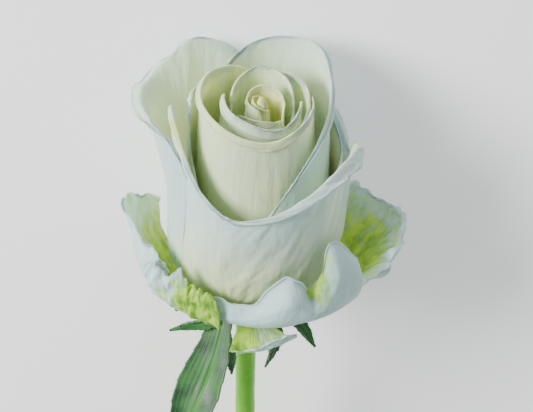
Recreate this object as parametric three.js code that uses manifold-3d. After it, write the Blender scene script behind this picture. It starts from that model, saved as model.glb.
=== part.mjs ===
// A cut rose lying on a table: one half-open white bloom, its five sepals, a short stem and two leaves.
// The bloom is designed about its own axis: angle round the axis, radius from it and height above its base.
// Angle 0 is to the right, 90 faces the table, 180 is to the left and 270 faces up, away from the table.
// The finished rose lies along Y with the bloom towards +Y, and rests on Z = 0. Millimetres.
import * as THREE from "three";
import { ParametricGeometry } from "three/addons/geometries/ParametricGeometry.js";
import { mergeVertices } from "three/addons/utils/BufferGeometryUtils.js";
import Module from "manifold-3d";

const wasm = await Module();
wasm.setup();

// Driving dimensions.
const bloomWidth = 54; // across the cupped petals, without the guard petals
const bloomHeight = 70; // from the petals' bases to the highest lip
const petalThickness = 0.36;
const sepalThickness = 0.7;
const leafThickness = 0.6;
const stemRadius = 3.0;
const stemLength = 150; // from the petals' bases to the cut end
const stalkRadius = 0.9; // of a leaf's stalk
const hipRadius = 7.6; // of the swollen top of the stem that carries the petals
const hipLength = 9;
const fitGap = 0.35; // left between pieces that touch

// The petals are drawn for a bloom 54 wide and 70 tall, and stretched to the sizes above.
const widen = bloomWidth / 54;
const raise = bloomHeight / 70;
const axisHeight = 30 * widen; // of the bloom's axis above the table, on which its lowest guard petals rest

// How a petal opens from its base.
const bellyHeight = 22; // where a cupped petal is widest
const lowHeight = 7;
const lowShare = 0.74; // how far it has opened by that height, on its way from base to belly
const clawShare = 0.36; // its width at the base, as a share of its full width
const clawEnd = 0.45; // share of its length over which it widens
const cornerDrop = 0.16; // how far its top corners are rounded down, as a share of its length
const cornerPower = 6;
const waistHeight = 30; // the bloom is drawn in on its left, under the flared lip
const waistReach = 15; // how far up and down that fades
const waistDepth = 0.1; // as a share of the radius

const petalColour = 0xe9eee2;
const guardColour = 0xdfe8d2;
const stemColour = 0x5fa02f;
const sepalColour = 0x4d9440;
const leafColour = 0x2f6b38;
const stamenColour = 0xd9b64a;

const rose = new THREE.Group();
const up = new THREE.Vector3(0, 0, 1);

// A point at an angle round the bloom's axis, a radius from it and a height above its base.
function around(angle, radius, height) {
  const turn = THREE.MathUtils.degToRad(angle);
  return new THREE.Vector3(radius * Math.cos(turn), height, -radius * Math.sin(turn));
}

function addNode(name, geometry, colour, roughness) {
  const material = new THREE.MeshStandardMaterial({ color: colour, roughness, metalness: 0 });
  const mesh = new THREE.Mesh(geometry, material);
  mesh.name = name;
  rose.add(mesh);
}

const throughPoints = (points) => new THREE.CatmullRomCurve3(points, false, "catmullrom");
const throughValues = (values) => throughPoints(values.map((value) => new THREE.Vector3(value, 0, 0)));

// Closes a geometry: welds its points, drops the triangles that this flattens, and turns its faces outwards.
function closed(geometry) {
  geometry.deleteAttribute("normal");
  geometry.deleteAttribute("uv");
  const welded = mergeVertices(geometry, 1e-3);
  const corner = (i) => new THREE.Vector3().fromBufferAttribute(welded.attributes.position, i);
  const kept = [];
  let volume = 0;
  for (let i = 0; i < welded.index.count; i += 3) {
    const [a, b, c] = [0, 1, 2].map((k) => welded.index.getX(i + k));
    if (a === b || b === c || a === c) continue;
    kept.push(a, b, c);
    volume += corner(a).dot(corner(b).cross(corner(c)));
  }
  welded.setIndex(volume > 0 ? kept : kept.reverse());
  return welded;
}

// A thin closed blade round a surface: full thickness inside, and none along its edge.
// surface(across, along) gives a point, both from 0 to 1.
function blade(surface, thickness, columns, rows) {
  const step = 1e-3;
  function normal(across, along) {
    const a = THREE.MathUtils.clamp(across, step, 1 - step);
    const l = THREE.MathUtils.clamp(along, step, 1 - step);
    const sideways = surface(a + step, l).sub(surface(a - step, l));
    const upwards = surface(a, l + step).sub(surface(a, l - step));
    return sideways.cross(upwards).normalize();
  }
  function wrapped(turn, along, target) {
    const onFront = turn <= 0.5;
    const across = onFront ? 2 * turn : 2 - 2 * turn;
    const onEdge = Math.min(across, 1 - across, along, 1 - along) < 1e-6;
    const side = onEdge ? 0 : (onFront ? 0.5 : -0.5) * thickness;
    target.copy(surface(across, along).addScaledVector(normal(across, along), side));
  }
  return closed(new ParametricGeometry(wrapped, 2 * columns, rows));
}

// What is left of a cupped petal's radius at the bloom's waist.
function waist(angle, height) {
  const toLeft = Math.max(0, -Math.cos(THREE.MathUtils.degToRad(angle))) ** 2;
  const near = Math.exp(-(((height / raise - waistHeight) / waistReach) ** 2));
  return 1 - waistDepth * toLeft * near;
}

// A surface through ribs. A rib is an angle and the points, base first, of the petal's section there.
function petalSurface(ribs, drawnIn) {
  const levels = ribs[0].points.map((_, level) =>
    throughPoints(ribs.map(({ angle, points }) => new THREE.Vector3(angle, ...points[level]))),
  );
  const middle = (ribs[0].angle + ribs[ribs.length - 1].angle) / 2;
  return (across, along) => {
    const section = throughPoints(levels.map((level) => level.getPoint(across)));
    const reach = along * (1 - cornerDrop * Math.abs(2 * across - 1) ** cornerPower);
    const { x: angle, y: radius, z: height } = section.getPoint(reach);
    const width = clawShare + (1 - clawShare) * THREE.MathUtils.smoothstep(reach, 0, clawEnd);
    const turned = middle + (angle - middle) * width;
    return around(turned, radius * drawnIn(turned, height), height);
  };
}

// A rib of a cupped petal: its radius at the belly, its crest, and how far its lip goes on from there.
const cup = (angle, belly, crest, crestHeight, lipOut = 0.3, lipUp = 1.2) => ({
  angle,
  belly,
  top: [
    [crest, crestHeight],
    [crest + lipOut, crestHeight + lipUp],
  ],
});

// A rib of a guard petal, which bends outwards: every point of its section after the base.
const bend = (angle, ...points) => ({ angle, points });

const stretched = ([radius, height]) => [radius * widen, height * raise];

// A petal's base sits on the hip, at a share of the hip's radius.
function cuppedPetal(name, baseShare, cups, columns = 12) {
  const base = baseShare * hipRadius;
  const ribs = cups.map(({ angle, belly, top }) => {
    const low = [base + (belly * widen - base) * lowShare, lowHeight * raise];
    return { angle, points: [[base, 0], low, ...[[belly, bellyHeight], ...top].map(stretched)] };
  });
  addNode(name, blade(petalSurface(ribs, waist), petalThickness, columns, 9), petalColour, 0.6);
}

function guardPetal(name, baseShare, bends, columns = 12, baseHeight = 0) {
  const base = [baseShare * hipRadius, baseHeight];
  const ribs = bends.map(({ angle, points }) => ({ angle, points: [base, ...points.map(stretched)] }));
  addNode(name, blade(petalSurface(ribs, () => 1), petalThickness, columns, 9), guardColour, 0.65);
}

// A blade along a spine, whose widths are spaced evenly from its start to its tip. Its broad face turns to
// the facing side, and hollow lifts its long edges that way, as a share of the width.
function strip(spine, widths, facing, hollow, thickness) {
  const middle = throughPoints(spine);
  const spread = throughValues(widths);
  function surface(across, along) {
    const forward = middle.getTangent(along);
    const sideways = new THREE.Vector3().crossVectors(facing, forward).normalize();
    const outwards = new THREE.Vector3().crossVectors(forward, sideways);
    const width = Math.max(0, spread.getPoint(along).x);
    const offset = across - 0.5;
    return middle
      .getPoint(along)
      .addScaledVector(sideways, offset * width)
      .addScaledVector(outwards, 4 * offset * offset * hollow * width);
  }
  return blade(surface, thickness, 6, 12);
}

// A round rod along a spine, with flat ends. Its radii are spaced evenly along it.
function rod(spine, radii, sides, rows) {
  const middle = throughPoints(spine);
  const girth = throughValues(radii);
  function wrapped(turn, rise, target) {
    const row = Math.round(rise * (rows + 2)) - 1;
    const along = THREE.MathUtils.clamp(row / rows, 0, 1);
    const radius = row < 0 || row > rows ? 0 : girth.getPoint(along).x;
    const forward = middle.getTangent(along);
    const sideways = new THREE.Vector3().crossVectors(up, forward).normalize();
    const outwards = new THREE.Vector3().crossVectors(forward, sideways);
    const swing = (turn % 1) * 2 * Math.PI;
    target
      .copy(middle.getPoint(along))
      .addScaledVector(sideways, radius * Math.cos(swing))
      .addScaledVector(outwards, radius * Math.sin(swing));
  }
  return closed(new ParametricGeometry(wrapped, sides, rows + 2));
}

// Several closed shapes made into one.
function joined(geometries) {
  const solids = geometries.map(({ attributes, index }) => {
    const vertProperties = attributes.position.array;
    const triVerts = new Uint32Array(index.array);
    return new wasm.Manifold(new wasm.Mesh({ numProp: 3, vertProperties, triVerts }));
  });
  const { vertProperties, triVerts } = wasm.Manifold.union(solids).getMesh();
  const whole = new THREE.BufferGeometry();
  whole.setAttribute("position", new THREE.BufferAttribute(vertProperties, 3));
  whole.setIndex(Array.from(triVerts));
  return whole;
}

// The outer whorl.
cuppedPetal("outer_petal_left", 0.89, [
  cup(84, 25.4, 25.6, 55, 0.5, 2.0),
  cup(110, 25.6, 27.0, 60, 1.0, 2.5),
  cup(130, 25.8, 30.0, 63, 2.5, 4.0),
  cup(150, 26.0, 33.0, 57, 4.0, 2.5),
  cup(168, 26.0, 32.0, 53, 4.5, 2.5),
  cup(185, 26.0, 28.6, 52, 1.8, 1.5),
  cup(199, 25.8, 26.0, 50, 0.2, 2.0),
  cup(214, 25.6, 25.8, 42, 0.2, 2.0),
], 18);
cuppedPetal("outer_petal_back", 0.87, [
  cup(10, 26.2, 26.4, 36),
  cup(34, 26.4, 27.4, 44, 2.0, 1.0),
  cup(58, 26.4, 28.0, 50, 2.0, 1.0),
  cup(80, 26.8, 28.0, 50, 1.6, 1.0),
  cup(104, 27.4, 28.2, 44, 1.0, 1.0),
], 10);
cuppedPetal("outer_petal_front", 0.83, [
  cup(185, 24.4, 25.0, 57, 0.4, 2.0),
  cup(205, 24.2, 23.6, 48, 0.4, 1.5),
  cup(230, 24.0, 24.0, 40, 0.8, 1.0),
  cup(258, 23.8, 25.0, 35.6, 1.2, 0.6),
  cup(290, 24.0, 25.2, 39.6, 1.4, 0.4),
  cup(318, 24.6, 25.6, 46.4, 3.0, 0.0),
  cup(342, 25.0, 25.6, 49, 4.5, -0.5),
  cup(362, 25.0, 25.2, 47, 4.5, 0.5),
], 14);
cuppedPetal("outer_petal_right", 0.77, [
  cup(330, 22.4, 22.0, 38),
  cup(355, 22.8, 22.6, 44),
  cup(380, 23.2, 22.0, 49),
  cup(405, 23.4, 23.0, 52, 0.8, 1.2),
  cup(435, 23.4, 24.0, 53, 0.8, 1.2),
  cup(465, 23.0, 23.6, 50),
]);

// The middle whorl.
cuppedPetal("middle_petal_left", 0.72, [
  cup(122, 22.0, 22.4, 52),
  cup(150, 21.8, 21.0, 55),
  cup(172, 21.5, 19.6, 55.5),
  cup(190, 21.3, 19.8, 51),
  cup(205, 21.3, 20.6, 44),
  cup(222, 21.5, 21.0, 35),
]);
cuppedPetal("middle_petal_back", 0.66, [
  cup(-90, 21.2, 20.2, 29),
  cup(-68, 20.9, 18.6, 39),
  cup(-45, 20.6, 17.8, 46.5),
  cup(-20, 20.5, 17.6, 52),
  cup(5, 20.5, 18.5, 56.5, 0.5, 1.5),
  cup(30, 20.8, 20.4, 62, 0.8, 2.0),
  cup(50, 21.0, 22.4, 65, 1.8, 3.0),
  cup(70, 21.0, 22.8, 65, 2.0, 4.0),
  cup(92, 20.6, 21.8, 64, 1.0, 4.0),
  cup(113, 19.8, 20.0, 61, 0.5, 3.0),
  cup(132, 19.2, 18.6, 56),
], 20);
cuppedPetal("middle_petal_front", 0.61, [
  cup(96, 17.6, 15.0, 58),
  cup(122, 18.0, 16.0, 60, 0.8, 2.5),
  cup(150, 18.3, 16.8, 60, 0.8, 2.5),
  cup(180, 18.5, 16.9, 58.5, 0.8, 1.8),
  cup(205, 18.6, 16.8, 57, 0.8, 1.2),
  cup(230, 18.6, 16.4, 55, 0.8, 0.9),
  cup(255, 18.6, 15.6, 53, 0.5, 0.9),
  cup(283, 18.6, 14.8, 52.5, 0.3, 0.9),
  cup(312, 18.4, 14.6, 55, 0.3, 1.0),
  cup(340, 18.0, 14.2, 57.5, 0.3, 1.0),
  cup(368, 17.6, 13.6, 58.5, 0.3, 1.0),
], 20);

// The inner whorl.
cuppedPetal("inner_petal_right", 0.57, [
  cup(-52, 16.6, 12.9, 50),
  cup(-25, 16.5, 12.7, 55),
  cup(5, 16.4, 12.6, 58.5, 0.4, 1.0),
  cup(30, 16.3, 12.8, 60, 0.6, 1.4),
  cup(56, 16.1, 12.8, 60.5, 0.6, 1.4),
  cup(82, 15.8, 12.6, 59),
]);
cuppedPetal("inner_petal_front", 0.51, [
  cup(166, 14.0, 10.9, 57),
  cup(190, 14.4, 11.0, 58.5, 0.4, 1.4),
  cup(215, 14.8, 11.6, 57.5, 0.6, 1.0),
  cup(240, 15.0, 11.8, 56.5, 0.6, 0.6),
  cup(270, 15.0, 11.5, 55.0, 0.8, 0.4),
  cup(300, 15.0, 11.2, 54.5, 0.8, 0.4),
  cup(330, 14.8, 10.9, 56.5),
  cup(352, 14.4, 10.6, 58),
]);
cuppedPetal("inner_petal_back", 0.46, [
  cup(-12, 12.2, 8.4, 52),
  cup(15, 12.8, 8.8, 57),
  cup(45, 13.2, 9.6, 60),
  cup(72, 13.4, 10.4, 61, 0.5, 2.2),
  cup(98, 13.4, 10.8, 61.5, 0.8, 3.2),
  cup(125, 13.2, 10.2, 60, 0.6, 2.0),
  cup(155, 12.8, 9.2, 58),
  cup(185, 12.2, 8.4, 55),
], 18);

// The tight heart.
cuppedPetal("heart_petal_front", 0.41, [
  cup(196, 10.6, 7.4, 53),
  cup(225, 10.8, 7.8, 55),
  cup(260, 10.9, 7.8, 55),
  cup(295, 10.9, 7.6, 54.5),
  cup(328, 10.6, 7.2, 53.5),
], 11);
cuppedPetal("heart_petal_ring", 0.36, [
  cup(-40, 9.2, 6.4, 53),
  cup(-5, 9.0, 6.0, 56.5),
  cup(40, 8.6, 5.2, 59),
  cup(90, 8.2, 4.8, 59.5),
  cup(140, 8.0, 4.5, 58.5),
  cup(190, 7.8, 4.3, 57),
  cup(240, 7.6, 4.1, 56.5),
  cup(280, 7.2, 3.9, 56),
]);
cuppedPetal("heart_petal_inner", 0.29, [
  cup(60, 6.2, 2.9, 55.5),
  cup(110, 6.1, 3.0, 57),
  cup(170, 6.0, 2.9, 57.5),
  cup(230, 5.8, 2.7, 56.5),
  cup(290, 5.6, 2.6, 55.5),
  cup(340, 5.2, 2.4, 55),
], 10);
cuppedPetal("heart_petal_tip", 0.21, [
  cup(150, 4.2, 1.5, 55.5),
  cup(200, 4.2, 1.5, 57),
  cup(250, 4.1, 1.4, 58.5),
  cup(300, 4.0, 1.4, 57.5),
  cup(350, 3.8, 1.3, 56),
  cup(395, 3.5, 1.2, 55),
], 8);

// The guard petals, bent outwards round the bloom's foot.
guardPetal("guard_petal_left", 0.97, [
  bend(152, [20, 0.6], [29, 9.6], [30.8, 18], [30.4, 22]),
  bend(168, [20, 0.6], [31, 9.6], [34, 19], [35.5, 26]),
  bend(182, [20, 0.6], [31.5, 9.6], [34.5, 20], [37, 28]),
  bend(193, [20, 0.6], [31, 8.6], [33.5, 16], [32.5, 21]),
  bend(205, [20, 0.6], [29.6, 7.6], [31, 14.5], [29.6, 20]),
  bend(217, [19, 0.6], [27.4, 6], [28.4, 13], [27.2, 18.5]),
]);
guardPetal("guard_petal_front_left", 1.0, [
  bend(208, [20, -0.4], [29.4, 5.6], [32.0, 11.2], [31.2, 17]),
  bend(222, [20, -0.4], [28.2, 5.4], [30.0, 11.4], [28.6, 17.5]),
  bend(236, [19.5, -0.4], [26.6, 4.4], [28.2, 9.6], [27.0, 16.2]),
  bend(250, [19.5, -0.6], [25.8, 3.4], [27.0, 7.6], [26.2, 11.4]),
]);
guardPetal("guard_petal_front", 0.93, [
  bend(245, [18.4, 0.8], [23.6, 4.4], [24.9, 7.4], [24.0, 11.4]),
  bend(257, [18.4, 1.0], [24.0, 4.8], [25.6, 7.8], [23.9, 11.2]),
  bend(269, [19, 1.0], [25.6, 5.2], [27.2, 8.2], [24.8, 12.0]),
  bend(281, [19, 1.4], [27.4, 6.0], [28.8, 10.0], [26.0, 13.6]),
  bend(293, [19, 1.4], [30.0, 7.6], [30.8, 14.0], [27.0, 18.6]),
  bend(302, [19, 1.4], [31.0, 7.8], [31.8, 12.4], [29.4, 14.2]),
  bend(311, [19, 1.4], [32.2, 9.0], [32.8, 18.0], [28.4, 25.6]),
  bend(320, [19, 1.4], [32.8, 9.4], [33.4, 19.6], [27.8, 28.0]),
  bend(328, [19, 1.4], [33.2, 9.6], [33.8, 18.6], [29.8, 25.4]),
], 14);
guardPetal("guard_petal_right", 0.92, [
  bend(-27, [20, 2.4], [31, 10.2], [36.8, 15.5], [37.0, 20]),
  bend(-16, [20, 2.4], [31, 9.8], [38.8, 15.5], [39.6, 20]),
  bend(-4, [20, 2.4], [31, 9.6], [40, 17], [42, 22]),
  bend(10, [20, 2.4], [31, 9.5], [39.5, 19], [42, 25]),
  bend(26, [20, 2.4], [30, 9.5], [36.5, 19], [38.5, 25]),
  bend(42, [20, 2.4], [28.6, 9.5], [33, 20], [35.5, 27]),
]);
guardPetal("guard_petal_hanging", 1.02, [
  bend(263, [14, -4.0], [19.0, -6.6], [22.0, -7.0], [23.6, -5.6]),
  bend(276, [14, -3.6], [20.4, -5.6], [23.6, -4.6], [25.0, -2.4]),
  bend(289, [15, -3.2], [22.0, -4.0], [25.8, -2.2], [26.6, 0.6]),
  bend(301, [15, -3.0], [22.0, -3.2], [26.0, -0.8], [26.8, 2.2]),
], 8, -0.5);
guardPetal("guard_petal_back_right", 0.98, [
  bend(50, [19, 0], [27, 3], [29.3, 10], [29.5, 16]),
  bend(66, [19, 0], [27, 3], [29.6, 11], [30.0, 18]),
  bend(82, [19, 0], [27, 3], [29.6, 11], [30.0, 18]),
  bend(97, [19, 0], [27, 3], [29.3, 9], [29.6, 14]),
], 10);
guardPetal("guard_petal_back_left", 0.97, [
  bend(101, [20.4, 2.4], [27.8, 5.4], [29.6, 14], [30.0, 21]),
  bend(115, [20.4, 2.4], [27.8, 5.4], [30.0, 15], [30.8, 24]),
  bend(131, [20.4, 2.4], [27.8, 5.4], [30.0, 15], [31.0, 24]),
  bend(146, [20.4, 2.4], [27.2, 5.4], [29.0, 13], [29.4, 18]),
], 8);

// The stamens on their disc and the styles between them, hidden at the bottom of the heart.
const stamenWiden = hipRadius / 7.6; // they are drawn for a hip of 7.6
const discRadius = 1.35 * stamenWiden;
const discHeight = 0.9;
const stamenHeight = 9;
const disc = new THREE.CylinderGeometry(discRadius, discRadius, discHeight, 16);
disc.translate(0, discHeight / 2, 0);
const filaments = [30, 90, 150, 210, 270, 330].map((angle) => {
  const bends = [[1.05, 0.2], [1.5, 5], [1.3, stamenHeight]];
  const spine = bends.map(([radius, height]) => around(angle, radius * stamenWiden, height));
  return rod(spine, [0.3, 0.3, 0.45], 5, 3);
});
addNode("stamens", joined([closed(disc), ...filaments]), stamenColour, 0.7);
const styles = rod([around(0, 0, discHeight + fitGap), around(0, 0, stamenHeight + 1)], [0.55, 0.55], 8, 1);
addNode("styles", styles, stamenColour, 0.7);

// The hip, the swollen top of the stem.
const hipSection = [
  [0, -fitGap],
  [hipRadius - 0.4, -fitGap],
  [hipRadius, -0.13 * hipLength],
  [hipRadius - 0.7, -0.36 * hipLength],
  [(hipRadius + stemRadius) / 2, -0.6 * hipLength],
  [stemRadius + 0.8, -0.84 * hipLength],
  [stemRadius + 0.1, -hipLength],
  [0, -hipLength],
].map(([radius, height]) => new THREE.Vector2(radius, height));
addNode("hip", closed(new THREE.LatheGeometry(hipSection, 24)), stemColour, 0.5);

// The stem, which curves down until its cut end is on the table. Its prickles grow out of its skin.
const stemTop = -hipLength - fitGap;
const stemDrop = axisHeight - stemRadius;
const stemSpine = [
  [0, stemTop, 0],
  [0.6, -0.15 * stemLength, -0.02 * stemDrop],
  [2, -0.32 * stemLength, -0.13 * stemDrop],
  [4, -0.55 * stemLength, -0.39 * stemDrop],
  [6, -0.79 * stemLength, -0.72 * stemDrop],
  [7, -stemLength, -stemDrop],
].map((point) => new THREE.Vector3(...point));
const stemMiddle = throughPoints(stemSpine);

// A prickle at a share of the stem's length, pointing out at an angle and leaning towards the cut end.
function prickle(along, angle) {
  const foot = stemMiddle.getPoint(along);
  const out = (radius, back) => foot.clone().add(around(angle, radius, -back));
  return rod([out(0.8, 0), out(stemRadius + 1.2, 0.6), out(stemRadius + 4.2, 3.4)], [1.9, 1.0, 0.12], 8, 4);
}
const stemRod = rod(stemSpine, [stemRadius + 0.1, stemRadius, stemRadius, stemRadius], 14, 18);
const prickles = [prickle(0.46, 330), prickle(0.52, 215), prickle(0.9, 300)];
addNode("stem", joined([stemRod, ...prickles]), stemColour, 0.45);

// The sepals, round the hip's shoulder. A spine point is an angle, how far out from the hip, and a height.
function sepal(name, faceAngle, ...blades) {
  const shapes = blades.map(({ spine, widths }) => {
    const points = spine.map(([angle, out, height]) => around(angle, hipRadius + fitGap + out, height));
    return strip(points, widths, around(faceAngle, 1, 0), 0.12, sepalThickness);
  });
  addNode(name, shapes.length > 1 ? joined(shapes) : shapes[0], sepalColour, 0.55);
}

sepal(
  "sepal_front_left",
  243,
  {
    spine: [
      [226, 0, -1.5], [227, 2.5, -7], [229, 5.5, -15.5], [229, 9.5, -24], [227, 14, -35], [223, 19, -55],
    ],
    widths: [5, 6.5, 9, 12, 13.5, 10, 0],
  },
  {
    spine: [[226, 2.6, -6], [216, 6.5, -7.6], [208, 11, -8.4], [204, 16, -9.6]],
    widths: [3, 3.4, 2.4, 0],
  },
  {
    spine: [[229, 2.4, -7], [236, 1.8, -13], [243, 1.0, -19], [248, 0.4, -25]],
    widths: [3, 4.6, 4.2, 0],
  },
);
sepal("sepal_front", 300, {
  spine: [[305, 0, -1.5], [305, 4.5, -5.2], [305, 7, -8], [304, 6.6, -12.4], [301, 4.2, -20]],
  widths: [5, 5, 4, 3.2, 0],
});
sepal("sepal_right", 310, {
  spine: [[340, 0, -1.5], [340, 4, -4.6], [340, 7.4, -6.7], [340, 10.5, -9.8], [340, 13.6, -14.2]],
  widths: [5, 5, 4, 3, 0],
});
for (const [name, angle] of [["sepal_back_right", 62], ["sepal_back_left", 148]]) {
  sepal(name, angle, {
    spine: [[angle, 0, -1.5], [angle, 5, -4.6], [angle, 10, -6.6], [angle, 14, -11], [angle, 16.5, -18]],
    widths: [5, 6, 5.5, 4, 0],
  });
}

// The leaves. Each is a stalk with five leaflets, whose tips lie on the table.
const tableHeight = -axisHeight;
const stalkFoot = 1.5; // radius of a stalk's thick foot, which slants down from the stem
const stalkLift = 1.4; // of the end of a stalk above the table
const leafletArch = 2.2;
const outline = [0, 0.72, 1, 0.94, 0.66, 0.3, 0]; // a leaflet's width, as shares of its greatest

function leaflet(name, start, tip, width) {
  const spine = [0, 0.3, 0.65, 1].map((share) => {
    const arch = leafletArch * Math.sin(Math.PI * share);
    return start.clone().lerp(tip, share).addScaledVector(up, arch);
  });
  const widths = outline.map((share) => share * width);
  addNode(name, strip(spine, widths, up, -0.07, leafThickness), leafColour, 0.5);
}

// A leaf leaves the stem at a share of its length, to one side. Its points are measured from there: how far
// out to that side, how far back towards the cut end, and the stalk's points also how far down, as a share.
function leaf(name, along, side, size) {
  const root = stemMiddle.getPoint(along);
  root.x += side * (stemRadius + 0.5 * stalkFoot + fitGap);
  const spot = (out, back, height) =>
    new THREE.Vector3(root.x + side * size * out, root.y - size * back, height);
  const drop = root.z - tableHeight - stalkLift;
  const bends = [[0, 0, 0], [10, 4, 0.31], [22, 9, 0.69], [34, 14, 0.92], [46, 19, 1]];
  const spine = bends.map(([out, back, down]) => spot(out, back, root.z - down * drop));
  const radii = [stalkFoot, stalkRadius, stalkRadius, 0.8 * stalkRadius, 0.7 * stalkRadius];
  addNode(`${name}_stalk`, rod(spine, radii, 8, 12), stemColour, 0.5);

  // Each leaflet: where it leaves the stalk, as a share, where its tip is, and its width.
  const stalk = throughPoints(spine);
  const leaflets = [
    [1, 79, 34, 21],
    [0.82, 57, -10, 19],
    [0.8, 43, 47, 19],
    [0.52, 29, -14, 15],
    [0.5, 19, 33, 15],
  ];
  leaflets.forEach(([share, out, back, width], i) => {
    const tip = spot(out, back, tableHeight + 0.1);
    const start = stalk.getPoint(share);
    const towards = tip.clone().sub(start).setZ(0).normalize();
    start.addScaledVector(towards, share < 1 ? stalkRadius + fitGap : fitGap);
    leaflet(`${name}_leaflet_${i + 1}`, start, tip, size * width);
  });
}
leaf("leaf_left", 0.61, -1, 1);
leaf("leaf_right", 0.69, 1, 0.92);

// The rose stands on the middle of its box's underside.
const box = new THREE.Box3().setFromObject(rose);
rose.position.set(-(box.min.x + box.max.x) / 2, -(box.min.y + box.max.y) / 2, -box.min.z);

export default rose;
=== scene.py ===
# %% [markdown]
# A cut white rose, half open, lying on a pale table.
# The frame is loaded first: it holds the solid model that every petal, sepal and leaf below has to fit.
# Lengths are worked out in millimetres, as a florist would measure them, and turned into metres in the mesh.

# %% Load the frame
import math

import bpy
import numpy as np
from mathutils import Matrix, Vector


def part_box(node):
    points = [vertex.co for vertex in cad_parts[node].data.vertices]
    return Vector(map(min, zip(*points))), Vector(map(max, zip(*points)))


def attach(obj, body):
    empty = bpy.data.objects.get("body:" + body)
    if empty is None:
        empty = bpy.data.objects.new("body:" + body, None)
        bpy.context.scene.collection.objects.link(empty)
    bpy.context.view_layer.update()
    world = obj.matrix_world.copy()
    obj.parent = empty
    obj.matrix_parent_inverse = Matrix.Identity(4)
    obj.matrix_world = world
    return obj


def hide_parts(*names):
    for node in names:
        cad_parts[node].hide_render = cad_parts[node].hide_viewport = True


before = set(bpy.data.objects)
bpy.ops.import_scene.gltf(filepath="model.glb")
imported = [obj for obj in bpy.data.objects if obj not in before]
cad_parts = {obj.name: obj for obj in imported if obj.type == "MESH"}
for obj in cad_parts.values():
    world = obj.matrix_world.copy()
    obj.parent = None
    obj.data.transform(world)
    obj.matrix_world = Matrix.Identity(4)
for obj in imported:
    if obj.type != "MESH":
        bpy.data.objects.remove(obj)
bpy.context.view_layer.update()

MM = 0.001
print("solids in the frame:", len(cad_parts))

# %% [markdown]
# A rose bloom grows round one axis, so its petals are drawn in bloom measures: an angle round the axis, a
# distance out from it, and a height above the petals' feet. Angle 0 is to the right, 90 faces the table,
# 180 is to the left and 270 faces up. The hip, the swollen top of the stem, says where the axis is.

# %% The foot of the bloom
FIT_GAP = 0.35
PETAL_ROOM = 7.6  # radius of the hip's top, where the petals are rooted
hip_low, hip_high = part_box("hip")
hip_middle = (hip_low + hip_high) / 2
foot = np.array([hip_middle.x, hip_high.y + FIT_GAP * MM, hip_middle.z]) / MM
print("foot of the bloom, mm:", foot.round(1))


def around(angle, radius, height):
    """Points at an angle round the bloom's axis, a radius from it and a height above its foot."""
    turn = np.radians(angle)
    spot = np.stack(np.broadcast_arrays(radius * np.cos(turn), height, -radius * np.sin(turn)), axis=-1)
    return foot + spot


# %% [markdown]
# The camera looks down on the flower from beyond its lips, so that the bloom stands up in the picture and
# the stem runs off the lower edge. A long lens keeps the petals' proportions true.

# %% The camera
LOOK_DOWN = math.radians(60)
LEAN = math.radians(4)
AWAY = 0.45
SENSOR = 36.0
FRAMED_WIDTH = 149.0  # mm of the table that the picture is wide

right = Vector((math.cos(LEAN), math.sin(LEAN), 0))
back = Vector((-math.sin(LEAN) * math.cos(LOOK_DOWN), math.cos(LEAN) * math.cos(LOOK_DOWN),
               math.sin(LOOK_DOWN)))
upward = back.cross(right)
aim = Vector(foot * MM) + Vector((3.3, 27.5, 0)) * MM
place = aim + back * AWAY

lens = bpy.data.cameras.new("camera")
lens.sensor_width = SENSOR
lens.lens = SENSOR * AWAY / (FRAMED_WIDTH * MM)
camera = bpy.data.objects.new("camera", lens)
camera.matrix_world = Matrix(
    [[right[i], upward[i], back[i], place[i]] for i in range(3)] + [[0, 0, 0, 1]]
)
bpy.context.scene.collection.objects.link(camera)
bpy.context.scene.camera = camera
print("camera at", [round(v, 3) for v in place], "lens", round(lens.lens, 1))

# %% [markdown]
# Petals are smooth, so a few drawn points are enough and a smooth curve goes through them. The same curve
# spreads random numbers smoothly over a sheet, which gives folds that are never quite alike.

# %% Smooth curves and folds
STEPS_A_FOLD = 8


def through(points, shares):
    """The curve through points (..., n, d), at shares (..., m) of its length from 0 to 1."""
    points = np.asarray(points, float)
    before = 2 * points[..., :1, :] - points[..., 1:2, :]
    after = 2 * points[..., -1:, :] - points[..., -2:-1, :]
    padded = np.concatenate([before, points, after], axis=-2)
    spans = points.shape[-2] - 1
    spot = np.clip(shares, 0, 1) * spans
    first = np.minimum(spot.astype(int), spans - 1)
    t = (spot - first)[..., None]
    shape = padded.shape[:-2] + (t.shape[-2], padded.shape[-1])
    a, b, c, d = (
        np.take_along_axis(padded, np.broadcast_to((first + k)[..., None], shape), axis=-2) for k in range(4)
    )
    start, end = (c - a) / 2, (d - b) / 2
    return b + t * start + t**2 * (3 * (c - b) - 2 * start - end) + t**3 * (2 * (b - c) + start + end)


def smooth(value, low, high):
    """0 below low, 1 above high, and a smooth step between them."""
    share = np.clip((value - low) / (high - low), 0, 1)
    return share * share * (3 - 2 * share)


def folds(seed, across, along, many_across, many_along):
    """Smooth random folds from about -1 to 1 over a sheet; across and along are its rows and columns."""
    heights = np.random.default_rng(seed).uniform(-1, 1, (many_across + 1, many_along + 1))
    return through(through(heights, across).T, along).T


def slanted(seed, across, along, many_across, many_along, slant):
    """Folds that run to the side as they climb the sheet. The slant is how far, as a share of its width."""
    heights = np.random.default_rng(seed).uniform(-1, 1, (many_across + 1, many_along + 1))
    fine = np.linspace(0, 1, STEPS_A_FOLD * many_across)
    columns = through(through(heights, fine).T, along)
    spots = (across[:, None] - slant * along + slant) / (1 + slant)
    return np.stack([np.interp(spots[:, k], fine, columns[k]) for k in range(len(along))], axis=1)


def wander(seed, shares, many):
    """A smooth random line from about -1 to 1."""
    heights = np.random.default_rng(seed).uniform(-1, 1, (many + 1, 1))
    return through(heights, shares)[:, 0]


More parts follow.
